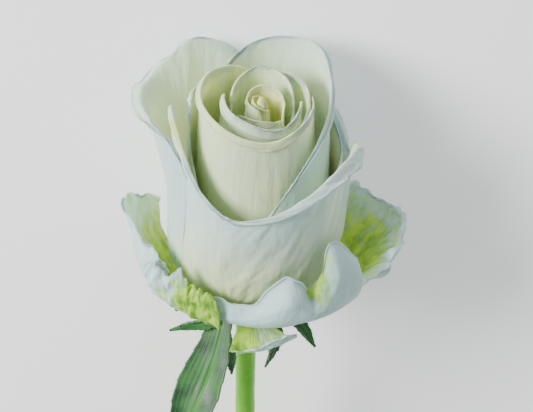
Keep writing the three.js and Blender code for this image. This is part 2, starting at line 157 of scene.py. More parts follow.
# %% [markdown]
# A petal, a sepal and a leaf are all thin sheets with two skins and a soft rim. Modelling one skin and adding
# Solidify would leave square rims, so both skins are laid out here and meet in a rounded edge. Every point
# also keeps notes for its colour: how far along and across the sheet it is, and which side it is on.

# %% Sheets with two skins
RIM_SHARES = np.array([0, 0.0015, 0.005])  # rows that lie close together at a rim, to round it
RIM_FULLNESS = np.array([0, 0.75, 1])  # of the thickness at those rows


def shares_of(count):
    """Shares from 0 to 1 for a sheet's rows, close together at both ends."""
    inner = np.linspace(0, 1, count)[1:-1]
    return np.concatenate([RIM_SHARES, inner, 1 - RIM_SHARES[::-1]])


def fullness(count):
    """How much of its thickness a sheet has at each row."""
    full = np.ones(count)
    full[: len(RIM_FULLNESS)] = RIM_FULLNESS
    full[-len(RIM_FULLNESS):] = RIM_FULLNESS[::-1]
    return full


def directions(sheet):
    """The unit directions across a sheet, along it and out of its front."""
    across = np.gradient(sheet, axis=0)
    along = np.gradient(sheet, axis=1)
    out = np.cross(across, along)
    return [way / np.maximum(np.linalg.norm(way, axis=-1, keepdims=True), 1e-9)
            for way in (across, along, out)]


def two_skins(sheet, thickness):
    """Vertices and faces of a closed sheet, and the row, column and side that each vertex comes from."""
    rows, columns = sheet.shape[:2]
    _, _, out = directions(sheet)
    half = 0.5 * thickness * np.minimum.outer(fullness(rows), fullness(columns))[..., None]
    index = np.arange(rows * columns).reshape(rows, columns)
    behind = index.copy()
    behind[1:-1, 1:-1] = rows * columns + np.arange((rows - 2) * (columns - 2)).reshape(rows - 2, columns - 2)
    vertices = np.concatenate(
        [(sheet + out * half).reshape(-1, 3), (sheet - out * half)[1:-1, 1:-1].reshape(-1, 3)]
    )
    faces = []
    for grid, order in ((index, (0, 1, 2, 3)), (behind, (3, 2, 1, 0))):
        corners = [grid[:-1, :-1], grid[1:, :-1], grid[1:, 1:], grid[:-1, 1:]]
        faces.append(np.stack([corners[k] for k in order], axis=-1).reshape(-1, 4))
    row, column = np.divmod(np.arange(rows * columns), columns)
    inner_row, inner_column = np.divmod(np.arange((rows - 2) * (columns - 2)), columns - 2)
    on_rim = (row == 0) | (row == rows - 1) | (column == 0) | (column == columns - 1)
    side = np.concatenate([np.where(on_rim, 0.5, 1.0), np.zeros(len(inner_row))])
    rows_of, columns_of = np.concatenate([row, inner_row + 1]), np.concatenate([column, inner_column + 1])
    return vertices, np.concatenate(faces), rows_of, columns_of, side


# %% [markdown]
# Every piece is finished the same way: its mesh is in metres and in its place, it rides on the flower's one
# body, it stands for its solids in the frame, and it takes the finish it is given.

# %% Finished pieces


def add_piece(name, mesh, finish, slot, *nodes):
    """A finished piece from a mesh that is already in place."""
    piece = bpy.data.objects.new(name, mesh)
    bpy.context.scene.collection.objects.link(piece)
    mesh.materials.clear()
    mesh.materials.append(finish)
    mesh.shade_smooth()
    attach(piece, "root")
    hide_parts(*nodes)
    return piece


def mesh_from(name, vertices, faces, notes):
    """A mesh from points in millimetres, with a number noted at each point under each name."""
    mesh = bpy.data.meshes.new(name)
    mesh.from_pydata((vertices * MM).tolist(), [], faces.tolist())
    for note, values in notes.items():
        mesh.attributes.new(note, "FLOAT", "POINT").data.foreach_set("value", np.asarray(values, np.float32))
    mesh.validate()
    return mesh


def sheet_mesh(name, sheet, thickness, across, along, **notes):
    """A closed mesh round a sheet. Each note is a grid of the sheet's size."""
    vertices, faces, row, column, side = two_skins(sheet, thickness)
    kept = {note: values[row, column] for note, values in notes.items()}
    placed = {"across": across[row], "along": along[column], "outer": side}
    return mesh_from(name, vertices, faces, {**placed, **kept})


# %% [markdown]
# Finishes are built from nodes. Two helpers keep them short: one adds a node and sets its sockets, and one
# adds a gentle noise. Colours are given as a florist's swatches, in linear light.

# %% Helpers for the finishes


def add_node(tree, kind, settings=None, **sockets):
    """A node of a kind, with its settings, and its sockets by name, each set to a value or linked."""
    node = tree.nodes.new(kind)
    for setting, value in (settings or {}).items():
        setattr(node, setting, value)
    fill(tree, node, **sockets)
    return node


def fill(tree, node, **sockets):
    """Sets a node's sockets by name, each to a value or a link."""
    for socket, value in sockets.items():
        put(tree, node.inputs[socket.replace("_", " ")], value)


def put(tree, socket, value):
    if isinstance(value, bpy.types.NodeSocket):
        tree.links.new(value, socket)
    elif isinstance(value, bpy.types.Node):
        tree.links.new(value.outputs[0], socket)
    elif isinstance(value, tuple) and len(value) == 3 and socket.type == "RGBA":
        socket.default_value = (*value, 1)
    else:
        socket.default_value = value


def note_of(tree, name):
    return add_node(tree, "ShaderNodeAttribute", {"attribute_name": name}).outputs["Fac"]


def maths(tree, operation, *values):
    node = tree.nodes.new("ShaderNodeMath")
    node.operation = operation
    for socket, value in zip(node.inputs, values):
        put(tree, socket, value)
    return node.outputs[0]


def between(tree, value, low, high, to_low=0.0, to_high=1.0):
    """A value from low to high, turned smoothly into a value from to_low to to_high."""
    node = add_node(tree, "ShaderNodeMapRange", {"interpolation_type": "SMOOTHSTEP"}, Value=value,
                    From_Min=low, From_Max=high, To_Min=to_low, To_Max=to_high)
    return node.outputs["Result"]


def blended(tree, share, first, second, way="MIX"):
    """Two colours mixed by a share."""
    node = tree.nodes.new("ShaderNodeMix")
    node.data_type = "RGBA"
    node.blend_type = way
    put(tree, node.inputs["Factor"], share)
    put(tree, node.inputs[6], first)
    put(tree, node.inputs[7], second)
    return node.outputs[2]


def cloudy(tree, where, scale, detail=3.0):
    """Noise from 0 to 1, with a scale in clouds for each metre, or for each unit of where."""
    return add_node(tree, "ShaderNodeTexNoise", Vector=where, Scale=scale, Detail=detail).outputs["Fac"]


def over_sheet(tree, many_across, many_along):
    """A vector that runs over a sheet by its own rows and columns, stretched as asked."""
    return add_node(
        tree,
        "ShaderNodeCombineXYZ",
        X=maths(tree, "MULTIPLY", note_of(tree, "across"), many_across),
        Y=maths(tree, "MULTIPLY", note_of(tree, "along"), many_along),
        Z=note_of(tree, "outer"),
    ).outputs[0]


def in_place(tree):
    return add_node(tree, "ShaderNodeTexCoord").outputs["Object"]


def bumped(tree, height, distance, strength=1.0, onto=None):
    """A bump of a depth in millimetres."""
    node = add_node(tree, "ShaderNodeBump", Height=height, Distance=distance * MM, Strength=strength)
    if onto is not None:
        put(tree, node.inputs["Normal"], onto)
    return node.outputs[0]


def new_finish(name):
    """An empty finish: its node tree and its shader."""
    finish = bpy.data.materials.new(name)
    finish.use_nodes = True
    return finish, finish.node_tree, finish.node_tree.nodes["Principled BSDF"]
# %% [markdown]
# A white rose is never plain white. Its outer faces and rims are a cool, faintly blue white, deeper in the bloom
# the colour turns cream and then a greenish gold, and the outermost guard petals carry raw green where they once
# wrapped the bud. That warm tone is partly the petals' own cream and partly painted light: the gold in the deep
# cup, on the inner faces and along overlapping margins stands for light shining through the petals into their
# crevices. Each point notes this warm tone and its greenness, and the finish mixes the swatches by them. Light
# also passes through petals, which subsurface scattering gives, and a little sheen gives the velvet of their
# skin.
# %% The petals' finish
def petal_finish(name, blotchy):
    finish, tree, shader = new_finish(name)
    warmth = note_of(tree, "warmth")
    mottle = cloudy(tree, in_place(tree), 110, 4)
    # The inner skin is made warmer than the outer one, and the warm swatches below, cream and gold, are partly
    # the petals' own colour and partly painted light shining through the petals into the crevices.
    inside = maths(tree, "SUBTRACT", warmth, maths(tree, "MULTIPLY", note_of(tree, "outer"), 0.25))
    warmed = maths(tree, "ADD", inside, maths(tree, "MULTIPLY", maths(tree, "SUBTRACT", mottle, 0.5), 0.22))
    colour = blended(tree, between(tree, warmed, 0.0, 0.6), (0.45, 0.64, 0.65), (0.70, 0.84, 0.46))
    colour = blended(tree, between(tree, warmed, 0.5, 1.0), colour, (0.92, 0.90, 0.22))
    streaks = cloudy(tree, over_sheet(tree, 46, 3.5), 1.0, 5)
    colour = blended(tree, between(tree, streaks, 0.35, 0.75, 0.0, 0.22), colour, (0.46, 0.60, 0.52))
    blotches = cloudy(tree, in_place(tree), 330 if blotchy else 160, 6)
    veined = cloudy(tree, over_sheet(tree, 26, 7), 1.0, 6)
    pattern = maths(tree, "MULTIPLY", maths(tree, "ADD", blotches, veined), 0.5)
    greenness = note_of(tree, "greenness")
    uneven = maths(tree, "MULTIPLY", maths(tree, "SUBTRACT", pattern, 0.5), 1.6)
    green = maths(tree, "ADD", greenness, uneven)
    leafy = blended(tree, between(tree, blotches, 0.3, 0.7), (0.10, 0.27, 0.015), (0.40, 0.66, 0.07))
    greened = maths(tree, "MULTIPLY", between(tree, green, 0.18, 0.75), between(tree, greenness, 0.0, 0.12))
    colour = blended(tree, greened, colour, leafy)
    grain = bumped(tree, cloudy(tree, in_place(tree), 2600, 2), 0.05, 0.5)
    ribs = bumped(tree, streaks, 0.35, 0.5, grain)
    crinkles = cloudy(tree, over_sheet(tree, 30, 13), 1.0, 4)
    crinkled = between(tree, note_of(tree, "crinkle"), 0, 1, 0.12, 1.0)
    fill(tree, shader, Base_Color=colour, Roughness=between(tree, mottle, 0.3, 0.7, 0.46, 0.62),
         Sheen_Weight=0.06, Sheen_Roughness=0.45, Specular_IOR_Level=0.35, Subsurface_Weight=0.55,
         Subsurface_Radius=(1.0, 0.95, 0.6), Subsurface_Scale=2.2 * MM,
         Normal=bumped(tree, crinkles, 0.5, crinkled, ribs))
    return finish


petal_skin = petal_finish("petal_skin", False)
guard_skin = petal_finish("guard_petal_skin", True)
print("finishes:", petal_skin.name, guard_skin.name)

# %% [markdown]
# Each petal is grown from ribs: sections up the petal at a few angles, from its foot through its belly to its
# lip. The petal is narrow at its foot, its claw, and its top corners are rounded. Then its lip is rolled
# outwards round a small arc, as a rose's lips do when they open, and last come the ruffles and the folds.
# A simple bent plane would show none of this at the rim, where the eye looks first.

# %% How a petal opens
BELLY_HEIGHT = 22.0
LOW_HEIGHT = 7.0
LOW_SHARE = 0.74
CLAW_SHARE = 0.36
CLAW_END = 0.45
CORNER_DROP = 0.16
CORNER_POWER = 6
PETAL_THICKNESS = 0.36
ROLL_TURN = math.radians(105)
ROLL_ROWS = 9
LIP_SHARE = 0.94  # of a petal's rows lie before its rolled lip
WAIST_HEIGHT = 30  # the bloom is drawn in on its left, under the flared lip
WAIST_REACH = 15
WAIST_DEPTH = 0.1
RIB_LIFT = 0.10  # of the thin rib up a petal's middle
RIB_WIDTH = 0.006
KEEL_LIFT = 0.35  # of the broad keel that the rib stands on
KEEL_WIDTH = 0.12
LEAST_ROLL = 0.12  # radius of a lip that hardly rolls


def waist(angle, height):
    """What is left of a cupped petal's radius at the bloom's waist."""
    to_left = np.maximum(0, -np.cos(np.radians(angle))) ** 2
    return 1 - WAIST_DEPTH * to_left * np.exp(-(((height - WAIST_HEIGHT) / WAIST_REACH) ** 2))


def opened(ribs, across, along, outline, drop, power, drawn_in):
    """A petal's sheet. A rib is a list of points, each an angle, a radius and a height."""
    levels = np.swapaxes(np.array(ribs, float), 0, 1)
    sections = np.swapaxes(through(levels, across), 0, 1)
    corners = 1 - drop * np.abs(2 * across - 1) ** power
    reach = along * (outline * corners)[:, None]
    angle, radius, height = np.moveaxis(through(sections, reach), -1, 0)
    width = CLAW_SHARE + (1 - CLAW_SHARE) * smooth(reach, 0, CLAW_END)
    middle = (ribs[0][0][0] + ribs[-1][0][0]) / 2
    turned = middle + (angle - middle) * width
    return around(turned, radius * drawn_in(turned, height), height)


def rolled(sheet, radius):
    """The sheet with its lip rolled outwards round an arc, whose radius is given across the sheet."""
    _, onwards, out = directions(sheet)
    shares = np.concatenate([np.linspace(0, 1, ROLL_ROWS)[1:-1], 1 - 6 * RIM_SHARES[::-1]])
    swing = (ROLL_TURN * shares)[None, :, None]
    arc = np.sin(swing) * onwards[:, -1:] + (1 - np.cos(swing)) * out[:, -1:]
    return np.concatenate([sheet, sheet[:, -1:] + radius[:, None, None] * arc], axis=1)


def patches(table, across, along):
    """A table of numbers spread smoothly over a sheet: its rows run across and its columns along."""
    return through(through(np.array(table, float), across).T, along).T


def petal_piece(node, ribs, finish, slot, curl, ruffle, notch, seed, warm=(0.3, 0.0), crinkle=0.3,
                crumple=0.0, green=None, tears=(), midrib=None, drop=CORNER_DROP, power=CORNER_POWER,
                flutes=0.3, spread=120, rise=84, slant=0.0, glow=(), drawn_in=lambda angle, height: 1.0):
    """One finished petal in the place of one solid. A tear is its place across, its width and its depth, and a
    band of painted light is its place across, its width and how much painted warm tone it adds, standing for
    light shining through overlapping petals; a band with a negative amount takes that painted light away."""
    across = shares_of(spread)
    along = np.concatenate([RIM_SHARES, np.linspace(0, 1, rise)[1:]])
    ragged = 0.6 * wander(seed, across, 9) + 0.4 * wander(seed + 1, across, 34)
    outline = 1 - notch * (0.6 + 0.6 * ragged)
    for where, width, depth in tears:
        outline = outline - depth * np.exp(-(((across - where) / width) ** 2))
    sheet = opened(ribs, across, along, outline, drop, power, drawn_in)
    to_side = np.minimum(across, 1 - across)
    lip = np.interp(across, np.linspace(0, 1, len(curl)), curl) * (0.85 + 0.3 * wander(seed + 2, across, 7))
    sheet = rolled(sheet, np.maximum(LEAST_ROLL, lip * smooth(to_side, 0, 0.08)))
    rows = sheet.shape[1]
    along = np.concatenate([along * LIP_SHARE, np.linspace(LIP_SHARE, 1, rows - len(along) + 1)[1:]])
    rim = smooth(along, 0.55, 1.0)
    lift = ruffle * rim * wander(seed + 3, across, 8)[:, None]
    lift = lift + flutes * ruffle * rim * wander(seed + 10, across, 24)[:, None]
    lift = lift + 0.08 * folds(seed + 4, across, along, 6, 5) * smooth(along, 0.1, 0.4)
    skin = smooth(along, 0.08, 0.3)
    wrinkles = folds(seed + 7, across + 0.02 * wander(seed + 8, across, 12), along, 34, 7)
    wrinkles = wrinkles + 0.6 * folds(seed + 9, across, along, 52, 22)
    if slant:
        beside = smooth(across, midrib or 0, (midrib or 0) + 0.03)[:, None]
        lines = slanted(seed + 12, across, along, 44, 9, slant)
        lines = lines + 0.6 * slanted(seed + 13, across, along, 80, 14, 1.3 * slant)
        wrinkles = (1 - beside) * 0.4 * wrinkles + beside * 1.1 * lines
    lift = lift + 0.1 * crinkle * skin * wrinkles
    if midrib:
        off_rib = np.abs(across - midrib)[:, None]
        ridge = RIB_LIFT * np.exp(-((off_rib / RIB_WIDTH) ** 2)) + KEEL_LIFT * np.exp(-off_rib / KEEL_WIDTH)
        lift = lift + smooth(along, 0.2, 0.5) * ridge
    if crumple:
        lift = lift + 0.6 * crumple * rim * wander(seed + 11, across, 16)[:, None]
        loose = smooth(along, 0.25, 0.7)
        lift = lift + crumple * loose * folds(seed + 5, across, along, 11, 8)
        lift = lift + 0.45 * crumple * loose * folds(seed + 6, across, along, 26, 16)
    sheet = sheet + directions(sheet)[2] * lift[..., None]
    deep = 1 - smooth(along, 0.2, 0.88)
    edge = 1 - smooth(to_side, 0.0, 0.14)[:, None]
    # Warmer deep in the cup and at the side margins: partly the petal's own cream, partly painted light shining
    # through overlapping petals. Each band listed adds more of that painted light, or takes it away.
    warmth = warm[1] + (warm[0] - warm[1]) * deep + 0.3 * edge
    for where, width, amount in glow:
        warmth = warmth + amount * np.exp(-(((across - where) / width) ** 2))[:, None]
    greenness = patches(green, across, along) if green else 0 * edge
    mesh = sheet_mesh(
        f"real_{node}", sheet, PETAL_THICKNESS, across, along,
        warmth=warmth + 0 * lift, greenness=greenness + 0 * lift, crinkle=np.full(lift.shape, crinkle),
    )
    piece = add_piece(f"real_{node}", mesh, finish, slot, node)
    print(f"{piece.name}: {len(mesh.polygons)} faces")
    return piece


def cupped_petal(node, base_share, cups, **look):
    """A petal that stands up. A cup is an angle, a belly radius, a crest radius and height, and a lip."""
    base = base_share * PETAL_ROOM
    ribs = []
    for angle, belly, crest, crest_height, *lip in cups:
        lip_out, lip_up = lip or (0.3, 1.2)
        ribs.append([
            (angle, base, 0),
            (angle, base + (belly - base) * LOW_SHARE, LOW_HEIGHT),
            (angle, belly, BELLY_HEIGHT),
            (angle, crest, crest_height),
            (angle, crest + lip_out, crest_height + lip_up),
        ])
    slot = "heart_petals" if node.startswith("heart") else "outer_petals"
    return petal_piece(node, ribs, petal_skin, slot, drawn_in=waist, **look)


def guard_petal(node, base_share, bends, base_height=0.0, **look):
    """A petal bent outwards round the bloom's foot. A bend is an angle and the points after the foot."""
    base = base_share * PETAL_ROOM
    ribs = [[(angle, base, base_height)] + [(angle, *point) for point in points] for angle, *points in bends]
    return petal_piece(node, ribs, guard_skin, "guard_petals", **look)


# %% [markdown]
# The outer whorl is four broad petals. The front one is a deep cup with a rib up its middle, and its lip opens
# out to the right; the left one flares furthest.

# %% The outer whorl
cupped_petal(
    "outer_petal_left", 0.89,
    [(84, 25.4, 25.6, 55, 0.5, 2.0), (110, 25.6, 27.0, 60, 1.0, 2.5), (126, 25.8, 29.6, 62.5, 2.5, 4.0),
     (137, 25.9, 31.2, 60.5, 3.6, 3.0), (148, 26.0, 33.2, 55.6, 4.6, 2.2),
     (162, 26.0, 33.0, 53.0, 5.4, 2.4), (175, 26.0, 31.0, 51.4, 4.0, 2.0),
     (187, 25.8, 28.0, 49.6, 1.8, 1.6), (200, 25.2, 25.2, 46.6, 0.3, 1.6), (214, 24.3, 24.0, 40, 0.1, 1.4)],
    curl=[0.2, 0.4, 0.8, 0.9, 0.7, 0.5, 0.25, 0.15], ruffle=1.3, notch=0.03, warm=(0.8, 0.25), crinkle=0.9,
    # Its one band takes painted warm light away along its right margin, where it lies over the front petal.
    tears=[(0.36, 0.03, 0.03)], spread=150, rise=96, glow=[(1.0, 0.12, -0.3)], seed=11,
)
cupped_petal(
    "outer_petal_back", 0.87,
    [(10, 26.2, 26.4, 36), (34, 26.4, 27.4, 44, 2.0, 1.0), (58, 26.4, 28.0, 50, 2.0, 1.0),
     (80, 26.8, 28.0, 50, 1.6, 1.0), (104, 27.4, 28.2, 44, 1.0, 1.0)],
    curl=[0.3, 0.7, 0.8, 0.6, 0.3], ruffle=0.5, notch=0.02, warm=(0.6, 0.1), crinkle=0.7, seed=12,
)
cupped_petal(
    "outer_petal_front", 0.83,
    [(185, 24.4, 24.0, 53, 0.2, 1.6), (192, 24.3, 24.8, 56.5, 1.0, 1.6), (199, 24.2, 24.8, 55, 1.2, 1.6),
     (207, 24.1, 23.8, 48.5, 0.6, 1.4), (218, 24.0, 23.8, 43.5, 0.6, 1.2),
     (231, 24.0, 24.0, 39.4, 0.8, 1.0), (245, 23.9, 24.6, 36.8, 1.0, 0.8),
     (258, 23.8, 25.0, 35.6, 1.2, 0.6), (274, 23.9, 25.1, 37.0, 1.3, 0.5),
     (290, 24.0, 25.2, 39.6, 1.4, 0.4), (304, 24.3, 25.4, 43.0, 2.2, 0.2),
     (318, 24.6, 25.6, 46.6, 3.0, 0.0), (330, 24.8, 25.6, 48.6, 3.8, -0.3),
     (342, 25.0, 25.6, 49.4, 4.5, -0.5), (352, 25.0, 25.4, 48.6, 4.5, 0.0),
     (362, 25.0, 25.2, 46.5, 4.5, 0.5)],
    curl=[0.15, 0.2, 0.3, 0.3, 0.35, 0.4, 0.5, 0.7, 0.9, 0.8, 0.3], ruffle=0.45, notch=0.02,
    warm=(0.95, 0.15), crinkle=2.8, tears=[(0.035, 0.01, 0.03), (0.40, 0.012, 0.03)], midrib=0.42,
    # Two bands of painted warm light: one in the crease under the left petal, one along the right margin.
    spread=240, rise=130, slant=0.34, glow=[(0.165, 0.03, 0.7), (1.0, 0.08, 0.2)], seed=13,
)
cupped_petal(
    "outer_petal_right", 0.77,
    [(330, 22.4, 22.0, 38), (355, 22.8, 22.6, 44), (380, 23.2, 22.0, 49), (405, 23.4, 23.0, 52, 0.8, 1.2),
     (435, 23.4, 24.0, 53, 0.8, 1.2), (465, 23.0, 23.6, 50)],
    curl=[0.2, 0.3, 0.5, 0.6, 0.5, 0.2], ruffle=0.4, notch=0.02, warm=(0.85, 0.2), crinkle=0.6, seed=14,
)

# %% [markdown]
# The middle and inner whorls wrap round each other like a scroll. The tall back petal stands over the others.

# %% The middle and inner whorls
cupped_petal(
    "middle_petal_left", 0.72,
    [(122, 22.0, 22.4, 52), (150, 21.8, 21.0, 55), (172, 21.5, 19.6, 55.5), (190, 21.3, 19.8, 51),
     (205, 21.3, 20.6, 44), (222, 21.5, 21.0, 35)],
    curl=[0.2, 0.3, 0.3, 0.25, 0.2], ruffle=0.5, notch=0.03, warm=(1.0, 0.4), crinkle=0.4, seed=15,
)
cupped_petal(
    "middle_petal_back", 0.66,
    [(-90, 21.2, 20.2, 29), (-68, 20.9, 18.6, 39), (-45, 20.6, 17.8, 46.5), (-20, 20.5, 17.6, 52),
     (5, 20.5, 18.5, 56.5, 0.5, 1.5), (30, 20.8, 20.4, 62, 0.8, 2.0), (50, 21.0, 22.4, 65, 1.8, 3.0),
     (70, 21.0, 22.8, 65, 2.0, 4.0), (92, 20.6, 21.8, 64, 1.0, 4.0), (113, 19.8, 20.0, 61, 0.5, 3.0),
     (132, 19.2, 18.6, 56)],
    curl=[0.2, 0.25, 0.3, 0.5, 0.6, 0.7, 0.6, 0.5, 0.3], ruffle=0.3, notch=0.01, warm=(1.1, 0.15),
    crinkle=0.7, spread=160, rise=96, seed=16,
)
cupped_petal(
    "middle_petal_front", 0.61,
    [(96, 17.6, 15.0, 58), (122, 18.0, 16.0, 60, 0.8, 2.5), (150, 18.3, 16.8, 60, 0.8, 2.5),
     (180, 18.5, 16.9, 58.5, 0.8, 1.8), (205, 18.6, 16.8, 57, 0.8, 1.2), (230, 18.6, 16.4, 55, 0.8, 0.9),
     (255, 18.6, 15.6, 53, 0.5, 0.9), (283, 18.6, 14.8, 52.5, 0.3, 0.9), (312, 18.4, 14.6, 55, 0.3, 1.0),
     (340, 18.0, 14.2, 57.5, 0.3, 1.0), (368, 17.6, 13.6, 58.5, 0.3, 1.0)],
    curl=[0.2, 0.2, 0.25, 0.25, 0.2, 0.2, 0.2, 0.15], ruffle=0.2, notch=0.008, warm=(1.15, 0.6),
    crinkle=0.7, spread=150, seed=17,
)
cupped_petal(
    "inner_petal_right", 0.57,
    [(-52, 16.6, 12.9, 50), (-25, 16.5, 12.7, 55), (5, 16.4, 12.6, 58.5, 0.4, 1.0),
     (30, 16.3, 12.8, 60, 0.6, 1.4), (56, 16.1, 12.8, 60.5, 0.6, 1.4), (82, 15.8, 12.6, 59)],
    curl=[0.2, 0.25, 0.35, 0.3, 0.2], ruffle=0.25, notch=0.012, warm=(1.1, 0.4), crinkle=0.4, seed=18,
)
cupped_petal(
    "inner_petal_front", 0.51,
    [(166, 14.0, 10.9, 57), (190, 14.4, 11.0, 58.5, 0.4, 1.4), (215, 14.8, 11.6, 57.5, 0.6, 1.0),
     (240, 15.0, 11.8, 56.5, 0.6, 0.6), (270, 15.0, 11.5, 55.0, 0.8, 0.4),
     (300, 15.0, 11.2, 54.5, 0.8, 0.4), (330, 14.8, 10.9, 56.5), (352, 14.4, 10.6, 58)],
    curl=[0.2, 0.3, 0.35, 0.35, 0.3, 0.2], ruffle=0.25, notch=0.015, warm=(1.2, 0.4), crinkle=0.4, seed=19,
)
cupped_petal(
    "inner_petal_back", 0.46,
    [(-12, 12.2, 8.4, 52), (15, 12.8, 8.8, 57), (45, 13.2, 9.6, 60), (72, 13.4, 10.4, 61, 0.5, 2.2),
     (98, 13.4, 10.8, 61.5, 0.8, 3.2), (125, 13.2, 10.2, 60, 0.6, 2.0), (155, 12.8, 9.2, 58),
     (185, 12.2, 8.4, 55)],
    curl=[0.2, 0.25, 0.35, 0.5, 0.3, 0.2], ruffle=0.25, notch=0.012, warm=(1.1, 0.4), crinkle=0.4, seed=20,
)

# %% [markdown]
# The heart is still closed: four small petals rolled into each other, warmer than the rest.

# %% The heart
SHUT = {"spread": 90, "rise": 70, "drop": 0.3, "power": 2}  # small petals with rounder tops
cupped_petal(
    "heart_petal_front", 0.41,
    [(196, 10.6, 7.4, 53), (225, 10.8, 7.8, 55), (260, 10.9, 7.8, 55), (295, 10.9, 7.6, 54.5),
     (328, 10.6, 7.2, 53.5)],
    curl=[0.15, 0.25, 0.25, 0.15], ruffle=0.2, notch=0.015, warm=(1.1, 0.6), crinkle=0.3, seed=21, **SHUT,
)
cupped_petal(
    "heart_petal_ring", 0.36,
    [(-40, 9.2, 6.4, 53), (-5, 9.0, 6.0, 56.5), (40, 8.6, 5.2, 59), (90, 8.2, 4.8, 59.5),
     (140, 8.0, 4.5, 58.5), (190, 7.8, 4.3, 57), (240, 7.6, 4.1, 56.5), (280, 7.2, 3.9, 56)],
    curl=[0.15, 0.2, 0.25, 0.2, 0.15], ruffle=0.15, notch=0.012, warm=(1.1, 0.7), crinkle=0.3, seed=22,
    **SHUT,
)
cupped_petal(
    "heart_petal_inner", 0.29,
    [(60, 6.2, 2.9, 55.5), (110, 6.1, 3.0, 57), (170, 6.0, 2.9, 57.5), (230, 5.8, 2.7, 56.5),
     (290, 5.6, 2.6, 55.5), (340, 5.2, 2.4, 55)],
    curl=[0.15, 0.15, 0.15, 0.15], ruffle=0.12, notch=0.012, warm=(1.1, 0.85), crinkle=0.2, seed=23, **SHUT,
)
cupped_petal(
    "heart_petal_tip", 0.21,
    [(150, 4.2, 1.5, 55.5), (200, 4.2, 1.5, 57), (250, 4.1, 1.4, 58.5), (300, 4.0, 1.4, 57.5),
     (350, 3.8, 1.3, 56), (395, 3.5, 1.2, 55)],
    curl=[0.12, 0.15, 0.15, 0.12], ruffle=0.08, notch=0.012, warm=(1.1, 0.85), crinkle=0.2, spread=80,
    rise=70, drop=0.3, power=2, seed=24,
)

# %% [markdown]
# The guard petals once wrapped the bud. They are smaller, thicker, crumpled and streaked with green, and they
# bend down round the bloom's foot. They get deeper folds and ragged rims.

# %% The guard petals
HIDDEN_LOOK = {  # of the two behind the bloom
    "curl": [0.3, 0.4, 0.4, 0.3], "ruffle": 0.5, "notch": 0.04, "crumple": 0.5, "warm": (0.4, 0.05),
    "green": [[0.6, 0.4, 0.2, 0.1], [0.5, 0.2, 0.0, 0.0], [0.5, 0.2, 0.0, 0.0], [0.6, 0.4, 0.2, 0.1]],
}
guard_petal(
    "guard_petal_left", 0.97,
    [(152, (20, 0.6), (29, 9.6), (30.8, 18), (30.4, 22)), (168, (20, 0.6), (31, 9.6), (34, 19), (35.5, 26)),
     (182, (20, 0.6), (31.5, 9.6), (34.5, 20), (37, 28)),
     (193, (20, 0.6), (31, 8.6), (33.5, 16), (32.5, 21)),
     (205, (20, 0.6), (29.6, 7.6), (31, 14.5), (29.6, 20)),
     (217, (19, 0.6), (27.4, 6), (28.4, 13), (27.2, 18.5))],
    curl=[0.2, 0.3, 0.4, 0.3, 0.3, 0.3], ruffle=0.7, notch=0.07, crumple=0.5, warm=(0.4, 0.05),
    green=[[0.9, 0.8, 0.4, 0.2], [0.9, 0.7, 0.35, 0.3], [0.9, 0.7, 0.3, 0.25], [0.8, 0.5, 0.1, 0.0],
           [0.6, 0.2, 0.0, 0.0], [0.6, 0.3, 0.3, 0.3]],
    tears=[(0.12, 0.02, 0.05), (0.3, 0.02, 0.04)], seed=31,
)
guard_petal(
    "guard_petal_front_left", 1.0,
    [(205, (20, -0.4), (29.6, 5.8), (32.6, 12.4), (31.6, 20.0)),
     (213, (20, -0.4), (29.2, 5.4), (32.0, 12.0), (29.6, 19.6)),
     (221, (20, -0.4), (28.4, 5.2), (30.4, 11.2), (29.0, 17.0)),
     (229, (20, -0.4), (27.8, 4.8), (29.6, 11.0), (27.6, 19.0)),
     (236, (19.5, -0.4), (26.8, 4.0), (28.2, 9.6), (26.4, 15.8)),
     (243, (19.5, -0.4), (26.4, 3.4), (27.6, 8.4), (25.6, 14.6)),
     (253, (19.5, -0.6), (25.8, 2.8), (27.0, 7.0), (25.4, 11.6))],
    curl=[0.15, 0.15, 0.12, 0.12, 0.12], ruffle=0.55, notch=0.1, crumple=0.75, warm=(0.3, 0.0),
    green=[[0.2, 0.0, 0.0, 0.0], [0.4, 0.2, 0.4, 0.0], [0.6, 0.4, 0.5, 0.1], [0.9, 0.9, 1.1, 0.6],
           [1.0, 1.1, 1.2, 0.9], [1.0, 1.1, 1.2, 0.9]],
    tears=[(0.36, 0.02, 0.06), (0.60, 0.02, 0.07), (0.82, 0.015, 0.03)], flutes=0.7, spread=170, rise=96,
    seed=42,
)
